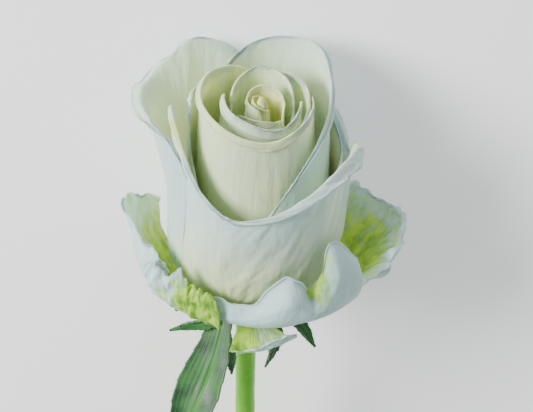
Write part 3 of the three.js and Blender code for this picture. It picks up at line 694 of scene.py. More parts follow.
guard_petal(
    "guard_petal_front", 0.93,
    [(240, (18.4, 0.8), (23.2, 3.6), (24.6, 7.0), (23.6, 11.6)),
     (249, (18.4, 0.8), (23.6, 3.6), (25.2, 6.8), (23.6, 11.4)),
     (257, (18.4, 0.8), (24.2, 3.6), (25.8, 6.4), (23.8, 10.4)),
     (266, (18.6, 0.8), (25.2, 4.0), (26.8, 6.6), (24.6, 10.4)),
     (275, (19, 1.0), (26.6, 4.6), (28.4, 7.8), (25.6, 11.4)),
     (283, (19, 1.2), (28.4, 5.6), (30.4, 11.2), (26.2, 16.6)),
     (290, (19, 1.4), (30.0, 6.6), (31.6, 14.4), (27.0, 19.6)),
     (297, (19, 1.4), (30.8, 7.4), (31.8, 14.0), (28.2, 18.4)),
     (303, (19, 1.4), (31.4, 7.6), (32.0, 12.2), (28.8, 15.4)),
     (309, (19, 1.4), (32.0, 8.0), (33.0, 15.4), (29.6, 20.6)),
     (314, (19, 1.4), (32.6, 8.8), (33.8, 19.2), (27.8, 27.6)),
     (321, (19, 1.4), (33.0, 9.2), (34.0, 20.4), (27.2, 29.6)),
     (330, (19, 1.4), (33.4, 9.4), (34.4, 19.2), (29.2, 26.6))],
    curl=[0.3, 0.3, 0.35, 0.4, 0.6, 1.0, 1.0, 0.5, 0.8, 0.9, 0.4], ruffle=0.35, notch=0.02, crumple=0.3,
    warm=(0.3, 0.0),
    green=[[0.3, 0.1, 0.0, 0.0], [0.2, 0.0, 0.0, 0.0], [0.2, 0.0, 0.0, 0.0], [0.2, 0.0, 0.0, 0.0],
           [0.2, 0.0, 0.0, 0.1], [0.2, 0.1, 0.4, 0.9], [0.2, 0.0, 0.1, 0.3], [0.2, 0.0, 0.0, 0.0]],
    spread=190, seed=33,
)
guard_petal(
    "guard_petal_right", 0.92,
    [(-27, (20, 2.4), (31, 10.2), (36.8, 15.5), (37.0, 20)),
     (-16, (20, 2.4), (31, 9.8), (38.8, 15.5), (39.6, 20)), (-4, (20, 2.4), (31, 9.6), (40, 17), (42, 22)),
     (10, (20, 2.4), (31, 9.5), (39.5, 19), (42, 25)), (26, (20, 2.4), (30, 9.5), (36.5, 19), (38.5, 25)),
     (42, (20, 2.4), (28.6, 9.5), (33, 20), (35.5, 27))],
    curl=[0.5, 0.7, 0.8, 0.7, 0.4], ruffle=1.3, notch=0.06, crumple=1.1, warm=(0.3, 0.0),
    green=[[0.9, 0.8, 0.3, 0.0], [1.0, 0.8, 0.4, 0.0], [0.95, 0.8, 0.6, 0.0], [0.95, 0.8, 0.6, 0.1],
           [0.9, 0.8, 0.5, 0.2]],
    tears=[(0.42, 0.02, 0.12)], seed=34,
)
guard_petal(
    "guard_petal_hanging", 1.02,
    [(258, (13.6, -3.6), (18.4, -6.2), (21.4, -7.2), (23.4, -6.2)),
     (267, (14, -4.0), (19.4, -6.6), (22.6, -7.0), (24.2, -5.2)),
     (278, (14, -3.6), (20.6, -5.6), (24.0, -5.2), (25.4, -3.0)),
     (290, (15, -3.2), (22, -4.0), (25.8, -2.4), (26.6, 0.4)),
     (301, (15, -3.0), (22, -3.2), (26.0, -0.8), (26.8, 2.2))],
    curl=[0.3, 0.4, 0.4, 0.3], ruffle=0.3, notch=0.02, crumple=0.3, warm=(0.3, 0.0),
    # The green is laid on thicker than the petal's own streaks: it also darkens this hanging petal as painted
    # shade.
    green=[[1.3, 1.3, 1.2, 0.9], [1.0, 0.8, 0.6, 0.3], [0.6, 0.5, 0.4, 0.2], [0.6, 0.5, 0.4, 0.2]],
    seed=35, base_height=-0.5,
)
guard_petal(
    "guard_petal_back_right", 0.98,
    [(50, (19, 0), (27, 3), (29.3, 10), (29.5, 16)), (66, (19, 0), (27, 3), (29.6, 11), (30.0, 18)),
     (82, (19, 0), (27, 3), (29.6, 11), (30.0, 18)), (97, (19, 0), (27, 3), (29.3, 9), (29.6, 14))],
    seed=36, **HIDDEN_LOOK,
)
guard_petal(
    "guard_petal_back_left", 0.97,
    [(101, (20.4, 2.4), (27.8, 5.4), (29.6, 14), (30.0, 21)),
     (115, (20.4, 2.4), (27.8, 5.4), (30.0, 15), (30.8, 24)),
     (131, (20.4, 2.4), (27.8, 5.4), (30.0, 15), (31.0, 24)),
     (146, (20.4, 2.4), (27.2, 5.4), (29.0, 13), (29.4, 18))],
    seed=37, **HIDDEN_LOOK,
)


# %% [markdown]
# Sepals and leaflets are strips: a spine, a width that swells and tapers along it, and a trough or a crown
# across it. A rib runs up the middle of each.

# %% Strips along a spine


def strip_sheet(spine, widths, facing, hollow, across, along, rib=0.0, teeth=0, tooth=0.0):
    """A strip's sheet. Its front looks to the facing side, and teeth saw its edges."""
    middle = through(spine, along)
    forward = np.gradient(middle, axis=0)
    forward /= np.linalg.norm(forward, axis=-1, keepdims=True)
    sideways = np.cross(facing, forward)
    sideways /= np.linalg.norm(sideways, axis=-1, keepdims=True)
    outwards = np.cross(forward, sideways)
    width = np.maximum(through(np.array(widths, float)[:, None], along)[:, 0], 0.3)
    offset = 0.5 - across
    reach = np.outer(offset, width)
    if teeth:
        saw = (along * teeth) % 1
        bite = tooth * (saw**1.5 - 0.5) * smooth(along, 0.04, 0.2) * (1 - smooth(along, 0.93, 1.0))
        reach = reach + np.outer(np.sign(offset) * np.abs(2 * offset) ** 6, bite)
    ridge = rib * np.exp(-((offset / 0.05) ** 2))
    lift = np.outer(4 * offset**2, hollow * width) + np.outer(ridge, np.ones(len(along)))
    return middle + sideways * reach[..., None] + outwards * lift[..., None]


# %% [markdown]
# A rose's five sepals are leathery green strips with a bluish bloom. One of them is as long as a leaf and bears
# two side lobes; the others are short and bend down. Fine hairs stand along their edges, and Geometry Nodes
# plant those, because they are many, small and all alike.

# %% The sepals' finish
def sepal_finish():
    finish, tree, shader = new_finish("sepal_skin")
    clouds = cloudy(tree, in_place(tree), 140, 4)
    streaks = cloudy(tree, over_sheet(tree, 18, 1.6), 1.0, 4)
    colour = blended(tree, between(tree, clouds, 0.35, 0.65), (0.010, 0.05, 0.014), (0.03, 0.14, 0.025))
    colour = blended(tree, between(tree, streaks, 0.45, 0.7, 0.0, 0.35), colour, (0.045, 0.19, 0.06))
    # A bright green band just off the middle: partly the rib's own green, partly a painted highlight where the
    # sepal catches the light.
    middle = maths(tree, "ABSOLUTE", maths(tree, "SUBTRACT", note_of(tree, "across"), 0.42))
    colour = blended(tree, between(tree, middle, 0.0, 0.16, 0.5, 0.0), colour, (0.06, 0.27, 0.03))
    bloom = cloudy(tree, in_place(tree), 60, 3)
    colour = blended(tree, between(tree, bloom, 0.5, 0.75, 0.0, 0.5), colour, (0.05, 0.19, 0.11))
    edge = maths(tree, "ABSOLUTE", maths(tree, "SUBTRACT", note_of(tree, "across"), 0.5))
    colour = blended(tree, between(tree, edge, 0.46, 0.5, 0.0, 0.4), colour, (0.22, 0.32, 0.18))
    fine = bumped(tree, cloudy(tree, in_place(tree), 1500, 3), 0.08, 0.6)
    fill(tree, shader, Base_Color=colour, Roughness=between(tree, clouds, 0.3, 0.7, 0.42, 0.6),
         Sheen_Weight=0.05, Sheen_Tint=(0.8, 0.95, 0.9, 1), Subsurface_Weight=0.08,
         Subsurface_Radius=(0.5, 1.0, 0.3), Subsurface_Scale=1.0 * MM,
         Normal=bumped(tree, streaks, 0.4, 0.5, fine))
    return finish


sepal_skin = sepal_finish()

# %% Hairs along an edge


def new_tree(name, takes, gives, **inputs):
    """An empty tree from one geometry to another, and its inputs, each of a kind."""
    tree = bpy.data.node_groups.new(name, "GeometryNodeTree")
    for socket, kind in {takes: "Geometry", **inputs}.items():
        tree.interface.new_socket(socket.replace("_", " "), in_out="INPUT", socket_type=f"NodeSocket{kind}")
    tree.interface.new_socket(gives, in_out="OUTPUT", socket_type="NodeSocketGeometry")
    return tree, tree.nodes.new("NodeGroupInput").outputs


def end_tree(tree, start, geometry):
    """Makes every copy real, gives it the finish and hands it out."""
    real = add_node(tree, "GeometryNodeRealizeInstances", Geometry=geometry)
    done = add_node(tree, "GeometryNodeSetMaterial", Geometry=real, Material=start["Finish"])
    tree.links.new(done.outputs[0], tree.nodes.new("NodeGroupOutput").inputs[0])
    return tree


def any_size(tree, start, least, most):
    """A random size for each copy."""
    size = add_node(tree, "FunctionNodeRandomValue", {"data_type": "FLOAT"}, Seed=start["Seed"])
    size.inputs[2].default_value = least
    size.inputs[3].default_value = most
    return size.outputs[1]


def hairy_edge_nodes():
    """A tree that plants small leaning hairs where a mesh is noted as hairy."""
    tree, start = new_tree("hairs along an edge", "Sheet", "Piece", Hairs_per_square_metre="Float",
                           Hair_length="Float", Hair_radius="Float", Seed="Int", Finish="Material")
    hairy = add_node(tree, "GeometryNodeInputNamedAttribute", Name="hairy").outputs["Attribute"]
    density = maths(tree, "MULTIPLY", hairy, start["Hairs per square metre"])
    roots = add_node(tree, "GeometryNodeDistributePointsOnFaces", Mesh=start["Sheet"], Density=density,
                     Seed=start["Seed"])
    hair = add_node(tree, "GeometryNodeMeshCone", Vertices=4, Radius_Top=0.00001,
                    Radius_Bottom=start["Hair radius"], Depth=start["Hair length"])
    size = any_size(tree, start, 0.5, 1.1)
    planted = add_node(tree, "GeometryNodeInstanceOnPoints", Points=roots.outputs["Points"], Instance=hair,
                       Rotation=roots.outputs["Rotation"], Scale=size)
    whole = tree.nodes.new("GeometryNodeJoinGeometry")
    tree.links.new(planted.outputs[0], whole.inputs[0])
    tree.links.new(start["Sheet"], whole.inputs[0])
    return end_tree(tree, start, whole)


def grown(name, mesh, tree, **settings):
    """The plain mesh that a node tree makes from a mesh, with the tree's inputs set by name."""
    seedling = bpy.data.objects.new(name, mesh)
    bpy.context.scene.collection.objects.link(seedling)
    modifier = seedling.modifiers.new("grow", "NODES")
    modifier.node_group = tree
    sockets = {item.name: item.identifier for item in tree.interface.items_tree if item.in_out == "INPUT"}
    for setting, value in settings.items():
        modifier[sockets[setting.replace("_", " ")]] = value
    graph = bpy.context.evaluated_depsgraph_get()
    plain = bpy.data.meshes.new_from_object(seedling.evaluated_get(graph), depsgraph=graph)
    bpy.data.objects.remove(seedling)
    plain.name = name
    print(f"{name}: {len(plain.polygons)} faces")
    return plain


hairy_edge = hairy_edge_nodes()

# %% The sepals
SEPAL_THICKNESS = 0.7
SEPAL_HOLLOW = 0.12
SEPAL_RIB = 0.25
SEPAL_WAVE = 0.035  # of its width
HAIRY_FROM = 0.46  # of its width from the middle, out to the edge
HAIRS_PER_SQUARE_METRE = 1.6e6
HAIR_LENGTH = 0.9
HAIR_RADIUS = 0.05


def sepal(node, face_angle, seed, *blades, spread=44, rise=110):
    """A sepal of one or more blades. A spine point is an angle, how far out from the hip, and a height."""
    facing = around(face_angle, 1.0, 0.0) - foot
    parts = []
    for number, (spine, widths) in enumerate(blades):
        points = np.array([around(angle, PETAL_ROOM + FIT_GAP + out, height) for angle, out, height in spine])
        across, along = shares_of(spread), shares_of(rise)
        sheet = strip_sheet(points, widths, facing, SEPAL_HOLLOW, across, along, SEPAL_RIB, 9, 0.35)
        waves = folds(seed + number, across, along, 3, 7) * smooth(along, 0.1, 0.4)
        broad = max(widths)
        sheet = sheet + directions(sheet)[2] * (SEPAL_WAVE * broad * waves)[..., None]
        vertices, faces, row, column, side = two_skins(sheet, SEPAL_THICKNESS)
        near_edge = (np.abs(across[row] - 0.5) > HAIRY_FROM) * (along[column] > 0.05)
        parts.append((vertices, faces, across[row], along[column], side, near_edge.astype(float)))
    counts = np.cumsum([0] + [len(part[0]) for part in parts])
    faces = np.concatenate([part[1] + count for part, count in zip(parts, counts)])
    vertices, across, along, outer, hairy = (
        np.concatenate([part[k] for part in parts]) for k in (0, 2, 3, 4, 5)
    )
    notes = {"across": across, "along": along, "outer": outer, "hairy": hairy}
    mesh = mesh_from(f"smooth_{node}", vertices, faces, notes)
    mesh = grown(f"real_{node}", mesh, hairy_edge, Hairs_per_square_metre=HAIRS_PER_SQUARE_METRE,
                 Hair_length=HAIR_LENGTH * MM, Hair_radius=HAIR_RADIUS * MM, Seed=seed, Finish=sepal_skin)
    return add_piece(f"real_{node}", mesh, sepal_skin, "sepals", node)


sepal(
    "sepal_front_left", 243, 51,
    ([(226, 0, -1.5), (227, 2.5, -7), (229, 5.5, -15.5), (229, 9.5, -24), (227, 14, -35), (223, 19, -55)],
     [5, 6.5, 9, 12, 13.5, 10, 0]),
    ([(226, 2.6, -6), (216, 6.5, -7.6), (208, 11, -8.4), (204, 16, -9.6)], [3, 3.4, 2.4, 0]),
    ([(229, 2.4, -7), (236, 1.8, -13), (243, 1.0, -19), (248, 0.4, -25)], [3, 4.6, 4.2, 0]),
)
sepal("sepal_front", 300, 52, (
    [(305, 0, -1.5), (305, 4.5, -5.2), (305, 7, -8), (304, 6.6, -12.4), (301, 4.2, -20)],
    [5, 5, 4, 3.2, 0],
))
sepal("sepal_right", 310, 53, (
    [(340, 0, -1.5), (340, 4, -4.6), (340, 7.4, -6.7), (340, 10.5, -9.8), (340, 13.6, -14.2)],
    [5, 5, 4, 3, 0],
))
for seed, (node, angle) in enumerate([("sepal_back_right", 62), ("sepal_back_left", 148)], 54):
    sepal(node, angle, seed, (
        [(angle, 0, -1.5), (angle, 5, -4.6), (angle, 10, -6.6), (angle, 14, -11), (angle, 16.5, -18)],
        [5, 6, 5.5, 4, 0],
    ))

# %% [markdown]
# The stem is bright, fresh green, faintly ribbed lengthwise, with a few broad based prickles. Its cut end shows
# a pale pith. The hip is the same skin, swollen and smooth. A tube that follows a path suits Geometry Nodes: the
# path is a chain of points that each know their girth.

# %% The stem's finish
def stem_finish():
    finish, tree, shader = new_finish("stem_skin")
    clouds = cloudy(tree, in_place(tree), 90, 4)
    specks = cloudy(tree, in_place(tree), 1400, 2)
    lengthwise = add_node(tree, "ShaderNodeMapping", Vector=in_place(tree), Scale=(1.0, 0.06, 1.0))
    streaks = cloudy(tree, lengthwise.outputs[0], 900, 3)
    colour = blended(tree, between(tree, clouds, 0.3, 0.7), (0.13, 0.54, 0.015), (0.20, 0.66, 0.02))
    colour = blended(tree, between(tree, streaks, 0.4, 0.75, 0.0, 0.45), colour, (0.30, 0.52, 0.10))
    colour = blended(tree, between(tree, specks, 0.62, 0.72, 0.0, 0.5), colour, (0.34, 0.52, 0.16))
    colour = blended(tree, between(tree, note_of(tree, "tip"), 0.2, 1.0), colour, (0.32, 0.14, 0.06))
    colour = blended(tree, between(tree, note_of(tree, "pith"), 0.4, 0.9), colour, (0.62, 0.68, 0.38))
    fine = bumped(tree, specks, 0.05, 0.5)
    fill(tree, shader, Base_Color=colour, Roughness=between(tree, clouds, 0.3, 0.7, 0.32, 0.5),
         Subsurface_Weight=0.12, Subsurface_Radius=(0.6, 1.0, 0.2), Subsurface_Scale=1.2 * MM,
         Normal=bumped(tree, streaks, 0.25, 0.5, fine))
    return finish


stem_skin = stem_finish()

# %% Tubes along a path


def tube_nodes():
    """A tree that turns chains of points, each with its girth, into closed tubes."""
    tree, start = new_tree("tube along a path", "Path", "Tube", Sides="Int", Unevenness="Float", Seed="Float",
                           Finish="Material")
    chain = add_node(tree, "GeometryNodeMeshToCurve", Mesh=start["Path"])
    girth = add_node(tree, "GeometryNodeInputNamedAttribute", Name="girth").outputs["Attribute"]
    round_wire = add_node(tree, "GeometryNodeCurvePrimitiveCircle", Resolution=start["Sides"], Radius=1.0)
    sized = add_node(tree, "GeometryNodeSetCurveRadius", Curve=chain, Radius=girth)
    tube = add_node(tree, "GeometryNodeCurveToMesh", Curve=sized, Profile_Curve=round_wire, Fill_Caps=True)
    if "Scale" in tube.inputs:
        put(tree, tube.inputs["Scale"], girth)
    noise = add_node(tree, "ShaderNodeTexNoise", {"noise_dimensions": "4D"}, W=start["Seed"], Scale=180.0)
    bulge = maths(tree, "MULTIPLY", maths(tree, "SUBTRACT", noise.outputs["Fac"], 0.5), start["Unevenness"])
    normal = add_node(tree, "GeometryNodeInputNormal")
    away = add_node(tree, "ShaderNodeVectorMath", {"operation": "SCALE"}, Vector=normal, Scale=bulge)
    moved = add_node(tree, "GeometryNodeSetPosition", Geometry=tube, Offset=away)
    return end_tree(tree, start, moved)


tube_along = tube_nodes()


def tubes(name, chains, sides, unevenness, seed):
    """One mesh of closed tubes. A chain is its points, its radii, and how much of tip and pith each shows."""
    points, edges, girths, tips, piths = [], [], [], [], []
    for places, radii, tip, pith in chains:
        first = len(points)
        points.extend((place * MM).tolist() for place in places)
        edges.extend((first + k, first + k + 1) for k in range(len(places) - 1))
        girths.extend(radius * MM for radius in radii)
        tips.extend(tip)
        piths.extend(pith)
    mesh = bpy.data.meshes.new(f"path_of_{name}")
    mesh.from_pydata(points, edges, [])
    for note, values in (("girth", girths), ("tip", tips), ("pith", piths)):
        mesh.attributes.new(note, "FLOAT", "POINT").data.foreach_set("value", values)
    return grown(name, mesh, tube_along, Sides=sides, Unevenness=unevenness * MM, Seed=float(seed),
                 Finish=stem_skin)


# %% The stem and its prickles
STEM_RADIUS = 3.0
STEM_LENGTH = 150.0
HIP_LENGTH = 9.0
AXIS_HEIGHT = 30.0
STEM_DROP = AXIS_HEIGHT - STEM_RADIUS
stem_spine = foot + np.array([
    (0, -HIP_LENGTH - FIT_GAP, 0),
    (0.6, -0.15 * STEM_LENGTH, -0.02 * STEM_DROP),
    (2, -0.32 * STEM_LENGTH, -0.13 * STEM_DROP),
    (4, -0.55 * STEM_LENGTH, -0.39 * STEM_DROP),
    (6, -0.79 * STEM_LENGTH, -0.72 * STEM_DROP),
    (7, -STEM_LENGTH, -STEM_DROP),
])


def prickle(along, angle):
    """A prickle's chain: it stands out at an angle and leans towards the cut end."""
    root = through(stem_spine, np.array([along]))[0]
    reach = [(0.8, 0.0), (STEM_RADIUS - 0.4, 0.2), (STEM_RADIUS + 1.2, 0.7), (STEM_RADIUS + 4.2, 3.4)]
    drawn = np.array([root + around(angle, out, -lean) - foot for out, lean in reach])
    shares = np.linspace(0, 1, 14)
    radii = through(np.array([[2.3], [1.9], [0.9], [0.1]]), shares)[:, 0]
    return through(drawn, shares), radii, shares**2, np.zeros(14)


stem_shares = np.concatenate([np.linspace(0, 0.998, 120), [1.0]])
stem_radii = through(np.array([[3.1], [3.0], [2.95], [3.0], [3.05], [3.0]]), stem_shares)[:, 0]
stem_chains = [(through(stem_spine, stem_shares), stem_radii, 0 * stem_shares, (stem_shares == 1.0) * 1.0)]
stem_chains += [prickle(0.46, 330), prickle(0.52, 215), prickle(0.9, 300)]
add_piece("real_stem", tubes("real_stem", stem_chains, 40, 0.35, 61), stem_skin, "stem", "stem")

# %% The hip
hip_section = np.array([
    (0.0, -FIT_GAP), (4.0, -FIT_GAP), (PETAL_ROOM - 0.5, -FIT_GAP - 0.1), (PETAL_ROOM, -1.3),
    (PETAL_ROOM - 0.6, -3.3), (5.4, -5.4), (3.9, -7.5), (3.15, -HIP_LENGTH), (0.0, -HIP_LENGTH),
])
HIP_SIDES = 60
HIP_ROWS = 40
hip_curve = through(hip_section[1:-1], np.linspace(0, 1, HIP_ROWS))
hip_turns = np.arange(HIP_SIDES) * 360 / HIP_SIDES
lobes = 1 + 0.02 * np.cos(5 * np.radians(hip_turns))[:, None]
hip_skin = around(hip_turns[:, None], hip_curve[None, :, 0] * lobes, hip_curve[None, :, 1])
hip_points = np.concatenate([hip_skin.reshape(-1, 3), around(0, 0, np.array([-FIT_GAP, -HIP_LENGTH]))])
grid = np.arange(HIP_SIDES * HIP_ROWS).reshape(HIP_SIDES, HIP_ROWS)
after = np.roll(grid, -1, axis=0)
hip_faces = np.stack([grid[:, :-1], grid[:, 1:], after[:, 1:], after[:, :-1]], axis=-1)
hip_faces = hip_faces.reshape(-1, 4).tolist()
top, bottom = len(hip_points) - 2, len(hip_points) - 1
hip_faces += [[top, int(a), int(b)] for a, b in zip(grid[:, 0], after[:, 0])]
hip_faces += [[bottom, int(b), int(a)] for a, b in zip(grid[:, -1], after[:, -1])]
hip_mesh = bpy.data.meshes.new("real_hip")
hip_mesh.from_pydata((hip_points * MM).tolist(), [], hip_faces)
for note in ("tip", "pith"):
    hip_mesh.attributes.new(note, "FLOAT", "POINT")
hip_mesh.validate()
add_piece("real_hip", hip_mesh, stem_skin, "stem", "hip")

# %% [markdown]
# Rose leaves are made of five leaflets on one stalk. A leaflet is a pointed oval with a sawn margin, a sunk
# midrib and side veins that curve forward to the teeth, and the blade puffs up a little between them. That
# relief is in the mesh; only the finest net of veins is left to the finish.

# %% The leaves' finish
def leaf_finish():
    finish, tree, shader = new_finish("leaf_skin")
    clouds = cloudy(tree, in_place(tree), 70, 4)
    colour = blended(tree, between(tree, clouds, 0.3, 0.7), (0.020, 0.085, 0.022), (0.045, 0.15, 0.035))
    vein = note_of(tree, "vein")
    colour = blended(tree, maths(tree, "MULTIPLY", vein, 0.6), colour, (0.16, 0.34, 0.10))
    net = add_node(tree, "ShaderNodeTexVoronoi", {"feature": "DISTANCE_TO_EDGE"},
                   Vector=in_place(tree), Scale=1000.0)
    lines = between(tree, net.outputs["Distance"], 0.0, 0.09, 1.0, 0.0)
    colour = blended(tree, maths(tree, "MULTIPLY", lines, 0.22), colour, (0.14, 0.30, 0.10))
    under = between(tree, note_of(tree, "outer"), 0.2, 0.8, 1.0, 0.0)
    colour = blended(tree, maths(tree, "MULTIPLY", under, 0.75), colour, (0.17, 0.30, 0.15))
    margin = maths(tree, "ABSOLUTE", maths(tree, "SUBTRACT", note_of(tree, "across"), 0.5))
    colour = blended(tree, between(tree, margin, 0.46, 0.5, 0.0, 0.5), colour, (0.20, 0.12, 0.06))
    fill(tree, shader, Base_Color=colour, Roughness=between(tree, clouds, 0.3, 0.7, 0.3, 0.45),
         Subsurface_Weight=0.06, Subsurface_Radius=(0.5, 1.0, 0.2), Subsurface_Scale=0.8 * MM,
         Normal=bumped(tree, lines, 0.08, 0.7))
    return finish


leaf_skin = leaf_finish()

# %% The leaves
LEAF_THICKNESS = 0.6
STALK_RADIUS = 0.9
STALK_FOOT = 1.5
STALK_LIFT = 1.4
LEAFLET_ARCH = 2.2
LEAFLET_OUTLINE = [0, 0.72, 1, 0.94, 0.66, 0.3, 0]
SIDE_VEINS = 8
LEAFLET_HOLLOW = -0.07  # below 0, since it is crowned
LEAFLET_TEETH = 22
LEAFLET_TOOTH = 0.85
table = foot[2] - AXIS_HEIGHT
sky = np.array([0.0, 0.0, 1.0])


def leaflet(node, start, tip, width, seed):
    """One leaflet, from its stalk to its tip, with its veins pressed into it."""
    across, along = shares_of(64), shares_of(150)
    spine = [start + (tip - start) * share + sky * LEAFLET_ARCH * math.sin(math.pi * share)
             for share in (0, 0.3, 0.65, 1)]
    widths = [share * width for share in LEAFLET_OUTLINE]
    sheet = strip_sheet(np.array(spine), widths, sky, LEAFLET_HOLLOW, across, along,
                        teeth=LEAFLET_TEETH, tooth=LEAFLET_TOOTH)
    off_middle = np.abs(2 * across - 1)[:, None]
    to_vein = (along[None, :] * SIDE_VEINS - off_middle * 1.5 + 40) % 1
    side_vein = np.exp(-((np.minimum(to_vein, 1 - to_vein) / 0.07) ** 2)) * (1 - smooth(off_middle, 0.8, 1.0))
    midrib = np.exp(-((off_middle / 0.055) ** 2)) * np.ones_like(to_vein)
    vein = np.maximum(midrib, 0.7 * side_vein * smooth(along, 0.03, 0.12))
    puff = np.sin(math.pi * to_vein) ** 2 * smooth(off_middle, 0.0, 0.3) * (1 - smooth(off_middle, 0.75, 1.0))
    within = smooth(along, 0.05, 0.2) * (1 - smooth(along, 0.85, 1.0))
    lift = (0.28 * puff - 0.22 * vein) * within + 0.5 * folds(seed, across, along, 2, 4) * within * off_middle
    sheet = sheet + directions(sheet)[2] * lift[..., None]
    mesh = sheet_mesh(f"real_{node}", sheet, LEAF_THICKNESS, across, along, vein=vein)
    return add_piece(f"real_{node}", mesh, leaf_skin, "leaves", node)


def leaf(name, along_stem, side, size, seed):
    """A stalk and its five leaflets, to one side of the stem."""
    root = through(stem_spine, np.array([along_stem]))[0]
    root = root + np.array([side * (STEM_RADIUS + 0.5 * STALK_FOOT + FIT_GAP), 0, 0])
    drop = root[2] - table - STALK_LIFT

    def spot(out, backwards, height):
        return np.array([root[0] + side * size * out, root[1] - size * backwards, height])

    bends = [(0, 0, 0), (10, 4, 0.31), (22, 9, 0.69), (34, 14, 0.92), (46, 19, 1)]
    spine = np.array([spot(out, backwards, root[2] - down * drop) for out, backwards, down in bends])
    shares = np.linspace(0, 1, 60)
    radii = through(STALK_RADIUS * np.array([[1.65], [1.0], [0.95], [0.8], [0.7]]), shares)[:, 0]
    chain = (through(spine, shares), radii, 0 * shares, 0 * shares)
    mesh = tubes(f"real_{name}_stalk", [chain], 20, 0.2, seed)
    add_piece(f"real_{name}_stalk", mesh, stem_skin, "stem", f"{name}_stalk")
    leaflets = [(1, 79, 34, 21), (0.82, 57, -10, 19), (0.8, 43, 47, 19), (0.52, 29, -14, 15),
                (0.5, 19, 33, 15)]
    for number, (share, out, backwards, width) in enumerate(leaflets, 1):
        tip = spot(out, backwards, table + 0.1)
        start = through(spine, np.array([share]))[0]
        towards = (tip - start) * (1, 1, 0)
        towards /= np.linalg.norm(towards)
        start = start + towards * (STALK_RADIUS + FIT_GAP if share < 1 else FIT_GAP)
        leaflet(f"{name}_leaflet_{number}", start, tip, size * width, seed + number)


leaf("leaf_left", 0.61, -1, 1, 71)
leaf("leaf_right", 0.69, 1, 0.92, 81)

# %% [markdown]
# At the bottom of the heart, out of sight while the petals are shut, stand the stamens round a tuft of styles.
# They are many and alike, so Geometry Nodes plant one stamen on every rooting point of a small disc.

# %% The stamens' finish
def stamen_finish():
    finish, tree, shader = new_finish("stamen_skin")
    clouds = cloudy(tree, in_place(tree), 700, 3)
    height = between(tree, add_node(tree, "ShaderNodeSeparateXYZ", Vector=in_place(tree)).outputs["Y"],
                     (foot[1] + 5) * MM, (foot[1] + 8) * MM)
    colour = blended(tree, height, (0.60, 0.62, 0.26), (0.62, 0.36, 0.07))
    colour = blended(tree, between(tree, clouds, 0.3, 0.7, 0.0, 0.35), colour, (0.75, 0.58, 0.22))
    fill(tree, shader, Base_Color=colour, Roughness=between(tree, clouds, 0.3, 0.7, 0.6, 0.85),
         Normal=bumped(tree, cloudy(tree, in_place(tree), 5000, 2), 0.04))
    return finish


stamen_skin = stamen_finish()

# %% Stamens on their disc


def stamen_nodes():
    """A tree that stands a filament with its anther on every point of a mesh, leaning as it is noted."""
    tree, start = new_tree("stamens on points", "Points", "Stamens", Height="Float", Filament_radius="Float",
                           Anther_radius="Float", Seed="Int", Finish="Material")
    top = add_node(tree, "ShaderNodeCombineXYZ", Z=start["Height"])
    line = add_node(tree, "GeometryNodeCurvePrimitiveLine", End=top)
    filament = add_node(tree, "GeometryNodeCurveToMesh", Curve=line, Fill_Caps=True,
                        Profile_Curve=add_node(tree, "GeometryNodeCurvePrimitiveCircle", Resolution=6,
                                               Radius=start["Filament radius"]))
    anther = add_node(tree, "GeometryNodeMeshUVSphere", Segments=8, Rings=6, Radius=start["Anther radius"])
    stretched = add_node(tree, "GeometryNodeTransform", Geometry=anther, Translation=top,
                         Scale=(0.8, 1.3, 1.0))
    stamen = tree.nodes.new("GeometryNodeJoinGeometry")
    tree.links.new(filament.outputs[0], stamen.inputs[0])
    tree.links.new(stretched.outputs[0], stamen.inputs[0])
    lean = add_node(tree, "GeometryNodeInputNamedAttribute", {"data_type": "FLOAT_VECTOR"}, Name="lean")
    aimed = add_node(tree, "FunctionNodeAlignRotationToVector", {"axis": "Z"},
                     Vector=lean.outputs["Attribute"])
    size = any_size(tree, start, 0.7, 1.0)
    planted = add_node(tree, "GeometryNodeInstanceOnPoints", Points=start["Points"], Instance=stamen,
                       Rotation=aimed.outputs[0], Scale=size)
    return end_tree(tree, start, planted)


stamens_on = stamen_nodes()


def tuft(node, rings, height, filament, anther, seed):
    """A tuft of stamens or styles. A ring is how many stand in it, its radius, and how far each leans."""
    roots, leans = [], []
    for many, radius, outwards in rings:
        for turn in np.arange(many) * 360 / many + 11 * radius:
            roots.append((around(turn, radius, 0.5) * MM).tolist())
            way = around(turn, outwards, 1.0) - foot
            leans.extend((way / np.linalg.norm(way)).tolist())
    mesh = bpy.data.meshes.new(f"roots_of_{node}")
    mesh.from_pydata(roots, [], [])
    mesh.attributes.new("lean", "FLOAT_VECTOR", "POINT").data.foreach_set("vector", leans)
    plain = grown(f"real_{node}", mesh, stamens_on, Height=height * MM, Filament_radius=filament * MM,
                  Anther_radius=anther * MM, Seed=seed, Finish=stamen_skin)
    return add_piece(f"real_{node}", plain, stamen_skin, "stamens", node)


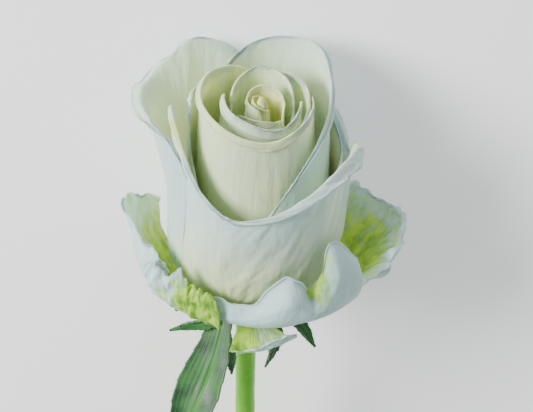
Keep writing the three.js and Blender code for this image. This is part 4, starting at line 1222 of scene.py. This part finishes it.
tuft("stamens", [(9, 0.8, 0.02), (12, 1.15, 0.1)], 8.6, 0.1, 0.32, 91)
tuft("styles", [(1, 0.01, 0.0), (5, 0.32, 0.0)], 9.0, 0.12, 0.2, 92)

# %% [markdown]
# The flower lies on a plain pale table. The light is that of a bright overcast window: one large soft light
# from the upper left, a weaker one from the right to keep the shadows open, and a pale sky all round.

# %% The table
FLOOR_HALF = 1.5
FLOOR_HEIGHT = -0.0004  # just clear of the leaves
floor_mesh = bpy.data.meshes.new("pale_table")
floor_corners = [(x * FLOOR_HALF, y * FLOOR_HALF, FLOOR_HEIGHT)
                 for x, y in ((-1, -1), (1, -1), (1, 1), (-1, 1))]
floor_mesh.from_pydata(floor_corners, [], [(0, 1, 2, 3)])
floor = bpy.data.objects.new("pale_table", floor_mesh)
bpy.context.scene.collection.objects.link(floor)
floor_finish, floor_tree, floor_shader = new_finish("pale_table")
put(floor_tree, floor_shader.inputs["Base Color"], blended(
    floor_tree, cloudy(floor_tree, in_place(floor_tree), 3, 2), (0.90, 0.91, 0.91), (0.93, 0.94, 0.94)))
floor_shader.inputs["Roughness"].default_value = 0.9
floor_shader.inputs["Emission Color"].default_value = (1, 1, 1, 1)
floor_shader.inputs["Emission Strength"].default_value = 0.4
floor_mesh.materials.append(floor_finish)

# %% The lights


def soft_light(name, where, size, power, tint):
    """A large square light at a place in metres, turned towards the bloom."""
    data = bpy.data.lights.new(name, "AREA")
    data.size = size
    data.energy = power
    data.color = tint
    light = bpy.data.objects.new(name, data)
    light.location = where
    light.rotation_euler = (Vector(where) - aim).to_track_quat("Z", "Y").to_euler()
    bpy.context.scene.collection.objects.link(light)


soft_light("window", (-0.9, 0.45, 0.6), 0.5, 27.0, (1.0, 1.0, 0.95))
soft_light("fill", (0.9, 0.1, 0.6), 0.9, 1.0, (0.94, 0.98, 1.0))
sky_light = bpy.data.worlds.new("overcast")
sky_light.use_nodes = True
sky_light.node_tree.nodes["Background"].inputs["Color"].default_value = (0.92, 0.97, 1.0, 1)
sky_light.node_tree.nodes["Background"].inputs["Strength"].default_value = 0.5
bpy.context.scene.world = sky_light
